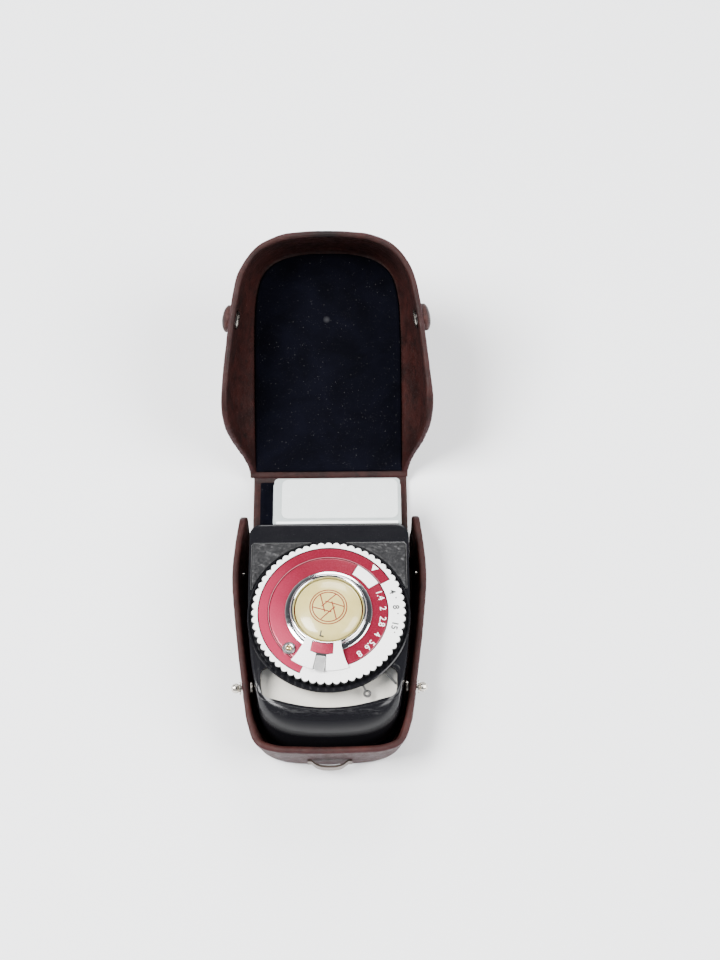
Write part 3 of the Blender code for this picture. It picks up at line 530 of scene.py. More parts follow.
def area_of(outline):
    """Signed area, positive when the outline runs counterclockwise."""
    return sum(a[0] * b[1] - b[0] * a[1] for a, b in zip(outline, outline[1:] + outline[:1])) / 2


def mirrored(half):
    return half + [(-x, y) for x, y in reversed(half[1:-1])]


def mix(first, second, share):
    return [(a + (c - a) * share, b + (d - b) * share) for (a, b), (c, d) in zip(first, second)]


def rounded(x0, y0, x1, y1, radius, steps=8):
    corners = [(x1 - radius, y1 - radius, 0), (x0 + radius, y1 - radius, 90),
               (x0 + radius, y0 + radius, 180), (x1 - radius, y0 + radius, 270)]
    out = []
    for cx, cy, start in corners:
        for i in range(steps + 1):
            a = radians(start + 90 * i / steps)
            out.append((cx + radius * cos(a), cy + radius * sin(a)))
    return out


def sector(inner, outer, start, end, steps):
    angles = [radians(start + (end - start) * i / steps) for i in range(steps + 1)]
    return ([(outer * cos(a), outer * sin(a)) for a in angles]
            + [(inner * cos(a), inner * sin(a)) for a in reversed(angles)])


def shape(name, bm, look, place=None, smooth=SHARP_ANGLE):
    if place is not None:
        bmesh.ops.transform(bm, matrix=place, verts=bm.verts)
    bmesh.ops.scale(bm, vec=(MM, MM, MM), verts=bm.verts)
    bmesh.ops.triangulate(bm, faces=[f for f in bm.faces if len(f.verts) > 4], ngon_method="EAR_CLIP")
    bmesh.ops.recalc_face_normals(bm, faces=bm.faces)
    if bm.calc_volume(signed=True) < 0:
        bmesh.ops.reverse_faces(bm, faces=bm.faces)
    mesh = bpy.data.meshes.new(name)
    bm.to_mesh(mesh)
    bm.free()
    ob = linked(name, mesh)
    mesh.materials.append(look)
    mesh.shade_smooth()
    mesh.set_sharp_from_angle(angle=radians(smooth))
    return ob


def bake(ob):
    """Make the modifiers part of the mesh."""
    graph = bpy.context.evaluated_depsgraph_get()
    mesh = bpy.data.meshes.new_from_object(ob.evaluated_get(graph))
    ob.modifiers.clear()
    ob.data = mesh


def carve(ob, bm, place=None):
    tool = shape("tool", bm, GROOVE, place)
    mod = ob.modifiers.new("carve", "BOOLEAN")
    mod.operation = "DIFFERENCE"
    mod.solver = "MANIFOLD"
    mod.object = tool
    bake(ob)
    bm = bmesh.new()
    bm.from_mesh(ob.data)
    bmesh.ops.triangulate(bm, faces=[f for f in bm.faces if len(f.verts) > 4])
    bmesh.ops.dissolve_degenerate(bm, dist=1e-7, edges=bm.edges)
    bm.to_mesh(ob.data)
    bm.free()
    ob.data.shade_smooth()
    ob.data.set_sharp_from_angle(angle=radians(SHARP_ANGLE))
    bpy.data.objects.remove(tool)


def soften(ob, width=0.2, segments=3, angle=35):
    mod = ob.modifiers.new("edges", "BEVEL")
    mod.width = width * MM
    mod.segments = segments
    mod.limit_method = "ANGLE"
    mod.angle_limit = radians(angle)
    mod.harden_normals = False
    return ob


def even_skin(ob, size=0.45, rounds=4):
    """Turn a cut solid into an even skin with soft edges, ready for waviness and wear."""
    mesh_size = ob.modifiers.new("even", "REMESH")
    mesh_size.mode = "VOXEL"
    mesh_size.voxel_size = size * MM
    relax = ob.modifiers.new("relax", "SMOOTH")
    relax.factor = 0.5
    relax.iterations = rounds
    bake(ob)
    ob.data.shade_smooth()


def points_of(ob):
    co = np.empty(len(ob.data.vertices) * 3)
    ob.data.vertices.foreach_get("co", co)
    return co.reshape(-1, 3)


def normals_of(ob):
    out = np.empty(len(ob.data.vertices) * 3)
    ob.data.vertex_normals.foreach_get("vector", out)
    return out.reshape(-1, 3)


def write_points(ob, co):
    ob.data.vertices.foreach_set("co", co.ravel())
    ob.data.update()


def paint(ob, name, values):
    layer = ob.data.attributes.new(name, "FLOAT", "POINT")
    layer.data.foreach_set("value", np.clip(values, 0, 1).astype(np.float32))


def waves(co, size, seed):
    """Smooth noise, about -1 to 1, at each point; size in millimetres."""
    scale = 1000.0 / size
    shift = Vector((seed * 7.1, seed * 3.3, seed * 5.7))
    return np.array([noise.noise(Vector(p) * scale + shift) for p in co])


def belongs(ob, body, slot, *stands_for):
    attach(ob, body)
    if stands_for:
        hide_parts(*stands_for)
    return ob


# ---------------------------------------------------------------- leather case

def tray_outlines():
    foot = [(0, -46.3), (9, -46.0), (17, -45.0), (23.2, -42.2), (27.2, -37.0), (29.6, -30.0),
            (31.0, -21.0), (32.6, -4.0), (33.6, 16.0), (33.9, 34.0), (33.9, 46.0), (33.9, 58.0), (0, 58.0)]
    rim = [(0, -48.8), (9, -48.6), (19, -48.0), (26.2, -45.0), (29.3, -37.6), (30.7, -30.0),
           (32.0, -20.0), (34.5, -1.0), (36.3, 19.0), (35.6, 33.0), (34.3, 45.0), (33.9, 58.0), (0, 58.0)]
    return tuple(mirrored(smooth_path(half[:-1], 8) + [half[-1]]) for half in (foot, rim))


def tray_level(share):
    return mix(*tray_outlines(), share)


def paint_leather_wear_and_light(ob, outward, edge, seed, stain=None):
    """Paint which faces look outwards, the rubbed edges together with faces lightened as painted light, and
    dark stains.
    """
    co = points_of(ob)
    paint(ob, "outer", outward)
    paint(ob, "wear_and_light", edge * (0.55 + 0.6 * waves(co, 7.0, seed)))
    paint(ob, "stain", stain if stain is not None else np.zeros(len(co)))


def build_tray():
    rings = [flat_ring(inset(tray_level(0.0), 0.6), 0.0), flat_ring(tray_level(0.06), 1.2)]
    rings += [flat_ring(tray_level(s), s * (TRAY_RIM_Z - 0.7)) for s in (0.5, 1.0)]
    rings.append(flat_ring(inset(tray_level(1.0), 0.7), TRAY_RIM_Z))
    rings.append(flat_ring(inset(tray_level(1.0), TRAY_LEATHER - 0.7), TRAY_RIM_Z))
    rings += [flat_ring(inset(tray_level(s), TRAY_LEATHER), s * (TRAY_RIM_Z - 0.7)) for s in (1.0, 0.5)]
    rings.append(flat_ring(inset(tray_level(0.15), TRAY_LEATHER + 0.1), TRAY_LEATHER))
    ob = shape("tray_leather", loft(rings), LIT_TRAY_HIDE)
    carve(ob, box((-30.8, TRAY_END_Y, -5), (30.8, 80, 40)))
    ear = [(-6.7, -5), (-3.7, 0.0), (-1.2, 3.5), (0.0, 8.0), (0.0, 12.5), (-1.6, 16.5), (-4.6, 19.4),
           (-8.7, 20.6)]
    ear = smooth_path(ear, 4) + [(-12.2, 25.0), (-12.2, 30.0), (40, 30.0), (40, -5)]
    carve(ob, loft([[(x, EAR_TIP_Y + back, z) for back, z in ear] for x in (-60, 60)]))
    even_skin(ob)
    co, nor = points_of(ob), normals_of(ob)
    high = np.clip((co[:, 2] / MM - 6) / 14, 0, 1)
    lift = 0.12 * waves(co, 11.0, 1) * high + 0.05 * waves(co, 3.0, 2)
    write_points(ob, co + nor * (lift * MM)[:, None])
    away = nor[:, 0] * co[:, 0] + nor[:, 1] * (co[:, 1] + 0.002)
    reach = np.hypot(co[:, 0], co[:, 1] + 0.002)
    outward = np.clip(away / reach * 2.5 - 0.6, 0, 1)
    outward = np.maximum(outward, nor[:, 2] < -0.7)
    rim = np.clip((co[:, 2] / MM - 19.3) / 1.0, 0, 1)
    ears = np.clip((co[:, 1] / MM - EAR_TIP_Y + 2.6) / 2.0, 0, 1)
    corner = np.clip((-co[:, 1] / MM - 44.0) / 3.0, 0, 1) * np.clip((co[:, 2] / MM - 15) / 5, 0, 1) * 0.5
    # Painted light: the inner wall faces above the floor get the pale brown, standing for light reaching into
    # the shaded gap beside the meter.
    lit_inner_face = 0.6 * np.clip((co[:, 2] / MM - 5) / 9, 0, 1) * (outward < 0.3) * (nor[:, 2] < 0.5)
    edges = np.maximum(np.maximum(rim * 0.12, ears * 0.2), corner * 0.45)
    paint_leather_wear_and_light(ob, outward, np.maximum(edges, lit_inner_face), 3)
    belongs(ob, "case", "leather", "case_tray")


def lid_outlines():
    rim = [(0, -6), (31.5, -6), (31.8, 0.0), (35.8, 8.0), (39.3, 18.0), (40.3, 28.0), (39.6, 39.0),
           (38.2, 51.0),
           (36.9, 61.0), (35.4, 70.0), (32.9, 79.5), (26.8, 88.2), (18.0, 92.8), (8.5, 94.3), (0, 94.6)]
    foot = [(0, -6), (31.2, -6), (31.4, 0.0), (31.8, 8.0), (31.9, 18.0), (31.9, 28.0), (31.9, 39.0),
            (31.9, 51.0),
            (31.8, 61.0), (31.2, 70.0), (29.4, 79.0), (24.6, 86.4), (16.8, 90.8), (8.0, 92.4), (0, 92.8)]
    return tuple(mirrored([half[0]] + smooth_path(half[1:], 8)) for half in (foot, rim))


def lid_level(share):
    return mix(*lid_outlines(), share)


def to_lid(co):
    """Points in metres to lid coordinates in millimetres."""
    back = np.array(lid_place().inverted())
    return co / MM @ back[:3, :3].T + back[:3, 3]


def build_lid():
    wall = [(0.0, 1.0), (0.42, 6.0), (0.74, 12.0), (0.93, 20.0), (1.0, LID_RIM_H - 0.7)]
    wall = smooth_path(wall, 3)
    rings = [flat_ring(inset(lid_level(0), 2.2), -3.0), flat_ring(inset(lid_level(0), 0.6), -1.9)]
    rings += [flat_ring(lid_level(share), height) for share, height in wall]
    rings.append(flat_ring(inset(lid_level(1), 0.7), LID_RIM_H))
    rings.append(flat_ring(inset(lid_level(1), LID_LEATHER - 0.7), LID_RIM_H))
    rings += [flat_ring(inset(lid_level(share), LID_LEATHER), height) for share, height in reversed(wall[1:])]
    rings.append(flat_ring(inset(lid_level(0.0), LID_LEATHER), 1.2))
    rings.append(flat_ring(inset(lid_level(0.0), LID_LEATHER + 0.4), 0.0))
    ob = shape("lid_leather", loft(rings), LEATHER, lid_place())
    mouth = [(2.6, 0.0), (8.0, 5.0), (14.0, 12.6), (19.5, 19.6), (23.5, 24.0), (27.5, 27.0), (32.0, 28.8),
             (36.5, LID_RIM_H + 0.2)]
    mouth = [(-12, -8), (0.5, -8), (0.5, 0.0)] + smooth_path(mouth, 4) + [(38.0, 45), (-12, 45)]
    carve(ob, loft([[(x, s, h) for s, h in mouth] for x in (-60, 60)]), lid_place())
    for side in (-1, 1):
        carve(ob, turned([(0, -9), (2.9, -9), (2.9, 9), (0, 9)], 32), snap_place(side))
    even_skin(ob)
    co, nor = points_of(ob), normals_of(ob)
    at = to_lid(co)
    high = np.clip((at[:, 2] - 8) / 20, 0, 1)
    lift = 0.35 * waves(co, 19.0, 4) * high + 0.10 * waves(co, 6.0, 5) * high + 0.05 * waves(co, 3.0, 6)
    write_points(ob, co + nor * (lift * MM)[:, None])
    turn = np.array(lid_place().to_3x3())
    side = nor @ turn
    reach = np.hypot(at[:, 0], at[:, 1] - 45)
    away = (side[:, 0] * at[:, 0] + side[:, 1] * (at[:, 1] - 45)) / reach
    outward = np.clip(away * 3 - 0.6, 0, 1)
    outward = np.maximum(outward, side[:, 2] < -0.6)
    rim = np.clip((at[:, 2] - LID_RIM_H + 1.3) / 1.0, 0, 1)
    patch = np.exp(-((at[:, 0] / 7.0) ** 2 + ((at[:, 2] - LID_RIM_H) / 3.0) ** 2)) * (at[:, 1] > 80)
    near_snap = np.exp(-(((at[:, 1] - SNAP_S + 1) / 6.5) ** 2 + ((at[:, 2] - SNAP_H) / 6.0) ** 2))
    paint_leather_wear_and_light(ob, outward, rim * 0.1 * (1 - patch), 7, np.maximum(near_snap * 0.55, patch * 0.9))
    belongs(ob, "lid", "leather", "case_lid")


def strip(name, stations, half_width, look, stands_for):
    """A leather or lining strip across a fold. Each station is the (y, z) of its under and its upper side."""
    rows = []
    across = 64
    for (ya, za), (yb, zb) in stations:
        under, upper = [], []
        for i in range(across + 1):
            x = half_width * (-1 + 2 * i / across)
            edge = max(0.0, abs(x) - half_width + 0.6) / 0.6
            share = 0.5 * (1 - (1 - edge ** 2) ** 0.5) if edge < 1 else 0.5
            under.append((x, ya + (yb - ya) * share, za + (zb - za) * share))
            upper.append((x, yb + (ya - yb) * share, zb + (za - zb) * share))
        rows.append(under + upper[::-1])
    ob = shape(name, loft(rows), look, smooth=60)
    co = points_of(ob)
    middle = np.clip(0.6 - np.abs(co[:, 1] / MM - NECK_SEAM_Y) / 40, 0, 1)
    shift = 0.12 * waves(co, 12.0, 8) * middle
    co[:, 2] += np.where(co[:, 2] > 0.0006, shift, 0) * MM
    write_points(ob, co)
    edge = np.clip((np.abs(co[:, 0]) / MM - half_width + 0.9) / 0.8, 0, 1)
    paint(ob, "wear_and_light", 0.3 * edge)
    paint(ob, "outer", (normals_of(ob)[:, 2] < -0.5).astype(float))
    paint(ob, "stain", 0.35 * np.exp(-((co[:, 1] / MM - 70.0) / 1.6) ** 2))
    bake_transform(ob)
    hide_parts(*stands_for)
    if look is VELVET:
        under = name.replace("velvet", "leather")


def span(first, last, step):
    count = max(1, round(abs(last - first) / step))
    return [first + (last - first) * i / count for i in range(count + 1)]


def build_neck():
    near = [((y, 0.0), (y, NECK_TOP_Z)) for y in span(35.4, NECK_SEAM_Y, NECK_STEP)]
    strip("neck_leather_near", near, NECK_HALF_WIDTH, LEATHER,
          ("case_neck",))
    far = [((y, 0.0), (y, NECK_TOP_Z)) for y in span(NECK_SEAM_Y, 68.6, NECK_STEP)]
    for i in range(1, 9):
        t = i / 8
        ease = t * t
        far.append(((68.6 + 3.85 * t, 0.62 * ease), (68.6 + 2.35 * t, NECK_TOP_Z + 0.62 * ease)))
    strip("neck_leather_far", far, NECK_HALF_WIDTH, LEATHER,
          ("case_neck",))
    low, high = NECK_TOP_Z + 0.12, NECK_TOP_Z + 0.95
    near = [((y, low), (y, high)) for y in span(36.9, NECK_SEAM_Y, NECK_STEP)]
    strip("neck_velvet_near", near, 27.4, VELVET,
          ("neck_lining",))
    far = [((y, low), (y, high)) for y in span(NECK_SEAM_Y, 68.7, NECK_STEP)]
    strip("neck_velvet_far", far, 27.4, VELVET,
          ("neck_lining",))


def pile(name, outline, low, thick, body, stands_for, place=None, dimple=None):
    """A velvet-covered sheet laid in the case: even rings from its edge to its middle."""
    ys = [y for x, y in outline]
    middle = (min(ys) + max(ys)) / 2
    rings = 34

    def ring(share, z):
        return [(x * share, middle + (y - middle) * share, z) for x, y in outline]

    rows = [ring(i / rings, low) for i in range(1, rings + 1)]
    rows.append(ring(1.0, low + thick * 0.6))
    rows.append(ring(0.994, low + thick * 0.9))
    rows += [ring(i / rings * 0.988, low + thick) for i in range(rings, 0, -1)]
    bm = loft(rows)
    if dimple:
        for v in bm.verts:
            if v.co.z > low + thick * 0.95:
                away = ((v.co.x - dimple[0]) / DIMPLE_R) ** 2 + ((v.co.y - dimple[1]) / DIMPLE_R) ** 2
                v.co.z -= DIMPLE_DEPTH * np.exp(-away)
    ob = shape(name, bm, VELVET, place, 60)
    co, nor = points_of(ob), normals_of(ob)
    write_points(ob, co + nor * (0.06 * waves(co, 9.0, 9) * MM)[:, None])
    belongs(ob, body, "lining", stands_for)


def build_linings():
    half = [(0, 3.0), (28.7, 3.0), (28.7, 20.0), (28.7, 40.0), (28.5, 60.0), (27.6, 72.0), (24.8, 80.6),
            (18.6, 85.8), (9.5, 88.2), (0, 88.6)]
    outline = mirrored([half[0]] + smooth_path(half[1:], 8))
    pile("lid_velvet", outline, 0.25, 0.9, "lid", "lid_lining", lid_place(), DIMPLE)
    floor = [(x, min(y, TRAY_END_Y - 0.5)) for x, y in inset(tray_level(0.15), TRAY_LEATHER + 1.2)]
    pile("tray_velvet", floor, TRAY_LEATHER + 0.25, 0.95, "case", "tray_lining")


def build_snaps():
    for name, side in (("left", -1), ("right", 1)):
        turn = snap_place(side)
        turns = [radians(6 * i) for i in range(1, 15)]
        dome = [(SNAP_CAP_R * cos(a), 0.9 + SNAP_CAP_RISE * sin(a)) for a in turns]
        profile = [(0, 0.05), (SNAP_CAP_R, 0.05), (SNAP_CAP_R, 0.9)] + dome + [(0, 0.9 + SNAP_CAP_RISE)]
        cap = shape(f"snap_leather_{name}", turned(profile, 48), LEATHER, turn)
        co = points_of(cap)
        local = co / MM @ np.array(turn.inverted().to_3x3()).T + np.array(turn.inverted().translation)
        edge = np.clip((np.hypot(local[:, 0], local[:, 1]) - 4.5) / 0.5, 0, 1)
        paint(cap, "outer", np.full(len(co), 0.1))
        paint(cap, "wear_and_light", 0.4 * edge)
        paint(cap, "stain", np.zeros(len(co)))
        belongs(cap, "lid", "leather", f"snap_cap_{name}")
        rim = turned([(2.62, -3.1), (2.85, -3.25), (3.3, -3.2), (3.6, -2.9), (3.6, -2.75), (2.62, -2.75)], 48)
        belongs(shape(f"snap_rim_{name}", rim, NICKEL, turn), "lid", "nickel", f"snap_socket_{name}")
        well = turned([(0, -0.2), (2.42, -0.2), (2.42, -2.7), (2.75, -2.7), (2.75, 0.0), (0, 0.0)], 32)
        belongs(shape(f"snap_well_{name}", well, DARK_NICKEL, turn), "lid", "nickel")


# ---------------------------------------------------------------- meter body

def body_outline(foot_y):
    shoulder = 4.5
    low = [(0, foot_y), (7.5, foot_y + 0.3), (13.5, foot_y + 1.1), (18.4, foot_y + 2.8), (21.9, foot_y + 5.2),
           (24.2, foot_y + 8.0), (25.4, max(foot_y + 9.0, -31.5)), (26.9, -23.0), (28.6, -10.0),
           (HALF_WIDTH, 8.0)]
    right = smooth_path(low, 5) + [(HALF_WIDTH, 20.0), (HALF_WIDTH, END_Y - shoulder)]
    for i in range(1, 11):
        a = radians(9 * i)
        right.append((HALF_WIDTH - shoulder + shoulder * cos(a), END_Y - shoulder + shoulder * sin(a)))
    right.append((0, END_Y))
    return mirrored(right)


def window_outline(draw_in=0.0):
    out = []
    side, low, corner = 24.4 - draw_in, -35.0 + draw_in, 4.2
    top_r = 25.8 + draw_in
    rise = 3.6
    for cx, start in ((-(side - corner), 180), (side - corner, 282)):
        for i in range(13):
            a = radians(start + 78 * i / 12)
            out.append((cx + corner * cos(a), low + rise + corner + corner * sin(a)))
        if cx < 0:
            bow = [-1 + i / 10 for i in range(1, 20)]
            out += [(u * (side - corner), low + rise * u * u) for u in bow]
    top = 20.0 + draw_in
    reach = degrees(atan2(top, side))
    shoulder = smooth_path([(side, -top - 1.8), (side - 0.5, -top - 0.6), (side - 1.6, -top)], 3)
    out += shoulder
    for i in range(1, 40):
        a = radians(-reach - (180 - 2 * reach) * i / 40)
        out.append((top_r * cos(a), top_r * sin(a)))
    out += [(-x, y) for x, y in reversed(shoulder)]
    return out


def build_casing():
    full, lip = body_outline(FOOT_Y), body_outline(LIP_Y)
    rings = [flat_ring(inset(full, 0.8), BASE_Z), flat_ring(full, BASE_Z + 0.9), flat_ring(full, 22.6)]
    slope = [(0.0, 22.6), (0.12, 24.2), (0.4, 26.6), (0.72, TOP_Z - 0.9), (0.9, TOP_Z - 0.35)]
    rings += [flat_ring(mix(full, lip, share), z) for share, z in slope[1:]]
    rings += [flat_ring(inset(lip, 0.35), TOP_Z - 0.1), flat_ring(inset(lip, 0.9), TOP_Z)]
    ob = shape("casing_shell", loft(rings), ENAMEL)
    hollow_low = inset(full, WALL)
    hollow_top = inset(mix(full, lip, 0.55), WALL + 0.6)
    carve(ob, loft([flat_ring(hollow_low, 0), flat_ring(hollow_low, 22.0),
                    flat_ring(hollow_top, TOP_Z - PLATE)]))
    carve(ob, prism(window_outline(), 20, 40))
    carve(ob, box((CELL_X[0], 30, BASE_Z + 1.0), (CELL_X[1], 45, TOP_Z - PLATE)))
    carve(ob, turned([(0, 20), (2.6, 20), (2.6, 40), (0, 40)], 48))
    soften(ob, 0.22, 3, 40)
    belongs(ob, "meter", "black_enamel", "body_casing")


def ring_along(outline, radius, z, count=8):
    """A thin round bead following a closed outline."""
    rows = []
    for i in range(count):
        a = 2 * pi * i / count
        rows.append(flat_ring(inset(outline, radius * cos(a)), z + radius * sin(a)))
    return loft(rows, closed=True)


def build_window():
    bead = ring_along(window_outline(-1.0), 0.1, TOP_Z)
    belongs(shape("window_rim", bead, ENAMEL), "meter", "black_enamel")
    pane = prism(window_outline(0.3), TOP_Z - 1.25, TOP_Z - 0.35)
    belongs(shape("window_pane", pane, CLEAR), "meter", "clear_window", "window_glass")
    inside = [(x, min(y, -12.0)) for x, y in inset(body_outline(FOOT_Y), WALL + 0.45)]
    card = [p for i, p in enumerate(inside) if hypot(p[0] - inside[i - 1][0], p[1] - inside[i - 1][1]) > 0.05]
    belongs(shape("scale_card", prism(card, 21.1, 21.7), CARD), "meter", "card", "scale_plate")


def panel_outline(side):
    clear_r = 29.9
    top_y, low_y, outer_x = 29.2, 10.8, 28.2
    first = atan2(top_y, (clear_r ** 2 - top_y ** 2) ** 0.5)
    last = atan2(low_y, (clear_r ** 2 - low_y ** 2) ** 0.5)
    arc = [first + (last - first) * i / 30 for i in range(31)]
    points = [(outer_x - 0.4, top_y)] + [(clear_r * cos(a), clear_r * sin(a)) for a in arc]
    points = [(min(x, outer_x), y) for x, y in points] + [(outer_x, low_y), (outer_x, top_y - 0.4)]
    clean = []
    for p in points:
        if not clean or hypot(p[0] - clean[-1][0], p[1] - clean[-1][1]) > 0.1:
            clean.append(p)
    return [(x * side, y) for x, y in clean]


def build_hands():
    """The needle and the ring-ended follow pointer, finer than the CAD's."""
    turn = Matrix.Translation((0, NEEDLE_PIVOT_Y, 0)) @ Matrix.Rotation(radians(NEEDLE_ANGLE), 4, "Z")
    blade = [(-6.0, -1.1), (-2.0, -0.8), (2.0, -0.55), (39.0, -0.32), (39.0, 0.32), (2.0, 0.55),
             (-2.0, 0.8), (-6.0, 1.1)]
    belongs(shape("needle_blade", prism(blade, 22.3, 22.75), BLACK_INK, turn), "needle_coil",
            "black_enamel", "needle")
    turn = Matrix.Rotation(radians(POINTER_ANGLE), 4, "Z")
    hub = turned([(2.75, 24.6), (4.6, 24.6), (4.6, 25.1), (2.75, 25.1)], 64)
    belongs(shape("pointer_hub", hub, STEEL, turn), "pointer", "black_enamel", "match_pointer")
    arm = prism([(4.2, -0.5), (30.2, -0.36), (30.2, 0.36), (4.2, 0.5)], 24.65, 25.05)
    belongs(soften(shape("pointer_arm", arm, DARK_NICKEL, turn), 0.08), "pointer", "black_enamel")
    eye = [(0.65, 24.6), (1.35, 24.6), (1.5, 24.85), (1.35, 25.1), (0.65, 25.1), (0.55, 24.85)]
    belongs(shape("pointer_eye", turned(eye, 48, (31.4, 0)), DARK_NICKEL, turn), "pointer", "black_enamel")


def build_panels():
    for name, side in (("left", -1), ("right", 1)):
        outline = panel_outline(side)
        ob = shape(f"leatherette_{name}", prism(outline, TOP_Z - 0.2, TOP_Z + 0.55), PEBBLE)
        even_skin(ob, 0.2, 2)
        co = points_of(ob)
        fold = np.abs(waves(co * (1.0, 1.8, 1.0), 3.4, 11)) * 0.34 + 0.10 * waves(co, 1.1, 12) - 0.06
        co[:, 2] += np.where(co[:, 2] > (TOP_Z + 0.3) * MM, fold, 0) * MM
        write_points(ob, co)
        belongs(ob, "meter", "leatherette", f"corner_panel_{name}")
        edge = outline if side == 1 else outline[::-1]
        edge = edge if area_of(edge) > 0 else edge[::-1]
        bead = ring_along(inset(edge, -0.35), 0.13, TOP_Z + 0.05)
        belongs(shape(f"panel_line_{name}", bead, PALE_EDGE), "meter", "black_enamel")


def build_flap():
    (x0, x1), (y0, y1) = FLAP_X, FLAP_Y
    top, bottom = FLAP_TOP_Z, FLAP_TOP_Z - FLAP_DEPTH
    plan = rounded(x0, y0, x1, y1, 1.6)
    inner = inset(plan, 1.1)
    rings = [flat_ring(inner, top - 1.5), flat_ring(inner, bottom + 1.4), flat_ring(plan, bottom + 1.4),
             flat_ring(plan, top - 0.9), flat_ring(inset(plan, 0.15), top - 0.6),
             flat_ring(inset(plan, 0.5), top - 0.5)]
    belongs(shape("flap_shell", loft(rings), SHADED_OPAL, smooth=50), "diffuser", "opal", "diffuser_flap")
    panel = rounded(x0 + 2.8, y0 + 2.3, x1 - 0.8, y1 - 0.7, 2.6, 12)
    rings = [flat_ring(panel, top - 0.7), flat_ring(panel, top - 0.35),
             flat_ring(inset(panel, 0.1), top - 0.15),
             flat_ring(inset(panel, 0.3), top - 0.03), flat_ring(inset(panel, 0.6), top)]
    belongs(shape("flap_opal", loft(rings), OPAL, smooth=50), "diffuser", "opal")
    # Painted highlight: a white strip along the flap's near edge stands for the bright highlight on that
    # edge.
    lip = box((x0 + 0.9, y0 + 0.1, top - 0.9), (x1 - 0.9, y0 + 1.1, top - 0.1))
    belongs(soften(shape("flap_highlight_strip", lip, WHITE), 0.2), "diffuser", "opal")
    back = rounded(x0 - 0.5, y0 + 0.1, x1 + 0.35, y1, 1.9)
    hole = rounded(x0 + 1.4, y0 + 1.4, x1 - 1.4, y1 - 1.4, 1.9)
    rings = [flat_ring(hole, bottom), flat_ring(back, bottom), flat_ring(back, bottom + 1.4),
             flat_ring(hole, bottom + 1.4)]
    frame_plate = shape("flap_backing", loft(rings, closed=True), SHADED_OPAL)
    belongs(soften(frame_plate, 0.3), "diffuser", "opal")
    pin_y, pin_z = FLAP_PIN
    for i, (lx0, lx1) in enumerate(((x0 + 1.2, x0 + 4.2), (x1 - 4.2, x1 - 1.2))):
        lug = [(y0 + 0.6, pin_z - 1.1), (y0 + 0.6, pin_z + 0.6), (pin_y + 0.5, pin_z + 0.9)]
        lug += [(pin_y + 1.1 * cos(a), pin_z + 1.1 * sin(a))
                for a in (radians(126 + 12 * k) for k in range(13))]
        lug_piece = shape(f"flap_lug_{i}", loft([[(x, y, z) for y, z in lug] for x in (lx0, lx1)]), OPAL)
        belongs(lug_piece, "diffuser", "opal")


# ---------------------------------------------------------------- calculator dial

def tooth_outline(draw_in=0.0, per_tooth=12):
    out = []
    for i in range(TEETH * per_tooth):
        a = 2 * pi * i / (TEETH * per_tooth)
        swell = abs(cos(TEETH * a / 2)) ** 0.75
        radius = TIP_R - draw_in - 0.95 * (1 - swell)
        out.append((radius * cos(a), radius * sin(a)))
    return out


def build_dial_ring():
    low, high = RING_Z
    rings = [flat_ring(tooth_outline(0.5), low), flat_ring(tooth_outline(0.1), low + 0.35),
             flat_ring(tooth_outline(), low + 0.9),
             flat_ring(tooth_outline(), high - 0.5), flat_ring(tooth_outline(0.08), high - 0.2),
             flat_ring(tooth_outline(0.3), high), flat_ring(tooth_outline(1.5), high + 0.02)]
    ob = shape("ring_teeth", loft(rings), RING, smooth=50)
    carve(ob, turned([(0, 20), (21.7, 20), (21.7, 40), (0, 40)], 180))
    start, end = RED_SPAN
    carve(ob, prism(sector(20.0, 25.7, start - 0.5, end + 0.5, 120), high - 0.8, 40))
    belongs(ob, "dial_ring", "aluminium", "knurled_ring")
    groove = prism(sector(21.75, 25.68, start - 0.45, end + 0.45, 120), high - 0.79, high - 0.55)
    belongs(shape("red_groove", groove, GROOVE), "dial_ring", "aluminium")
    band = shape("red_band", prism(sector(22.1, 25.3, start, end, 120), high - 0.6, high - 0.03), CRIMSON)
    belongs(soften(band, 0.12), "dial_ring", "crimson", "red_outer_ring")
    line = prism(sector(21.68, 21.84, start, end, 120), high - 0.2, high + 0.03)
    belongs(shape("ring_inner_line", line, PALE_CRIMSON), "dial_ring", "aluminium")
    a = radians(46.0)
    tip = [(22.6, 0.0), (24.9, -1.35), (24.9, 1.35)]
    mark = [(x * cos(a) - y * sin(a), x * sin(a) + y * cos(a)) for x, y in tip]
    belongs(shape("ring_mark", prism(mark, high - 0.1, high + 0.03), WHITE), "dial_ring", "aluminium")
    for words, angle in (("4", 18.5), ("8", 4.0), ("15", -13.0)):
        letter(f"ring_number_{words}", words, 24.3, angle, high + 0.03, 3.2, GREY_INK, "dial_ring",
               "aluminium", 0.08)
        spot_angle = radians(angle - 6.0)
        spot = circle(0.26, 20, (25.0 * cos(spot_angle), 25.0 * sin(spot_angle)))
        belongs(shape(f"ring_dot_{words}", prism(spot, high, high + 0.05), GREY_INK), "dial_ring",
                "aluminium")


def letter(name, words, radius, angle, z, size, look, body, slot, bold=0.0):
    """A printed number with its top pointing outwards."""
    curve = bpy.data.curves.new(name, "FONT")
    curve.body = words
    curve.size = size
    curve.align_x = "CENTER"
    curve.align_y = "CENTER"
    curve.extrude = 0.03
    curve.resolution_u = 6
    curve.offset = bold
    temp = linked(name, curve)
    mesh = bpy.data.meshes.new_from_object(temp.evaluated_get(bpy.context.evaluated_depsgraph_get()))
    bpy.data.objects.remove(temp)
    bm = bmesh.new()
    bm.from_mesh(mesh)
    a = radians(angle)
    place = Matrix.Translation((radius * cos(a), radius * sin(a), z)) @ Matrix.Rotation(a - pi / 2, 4, "Z")
    ob = shape(name, bm, look, place)
    belongs(ob, body, slot)


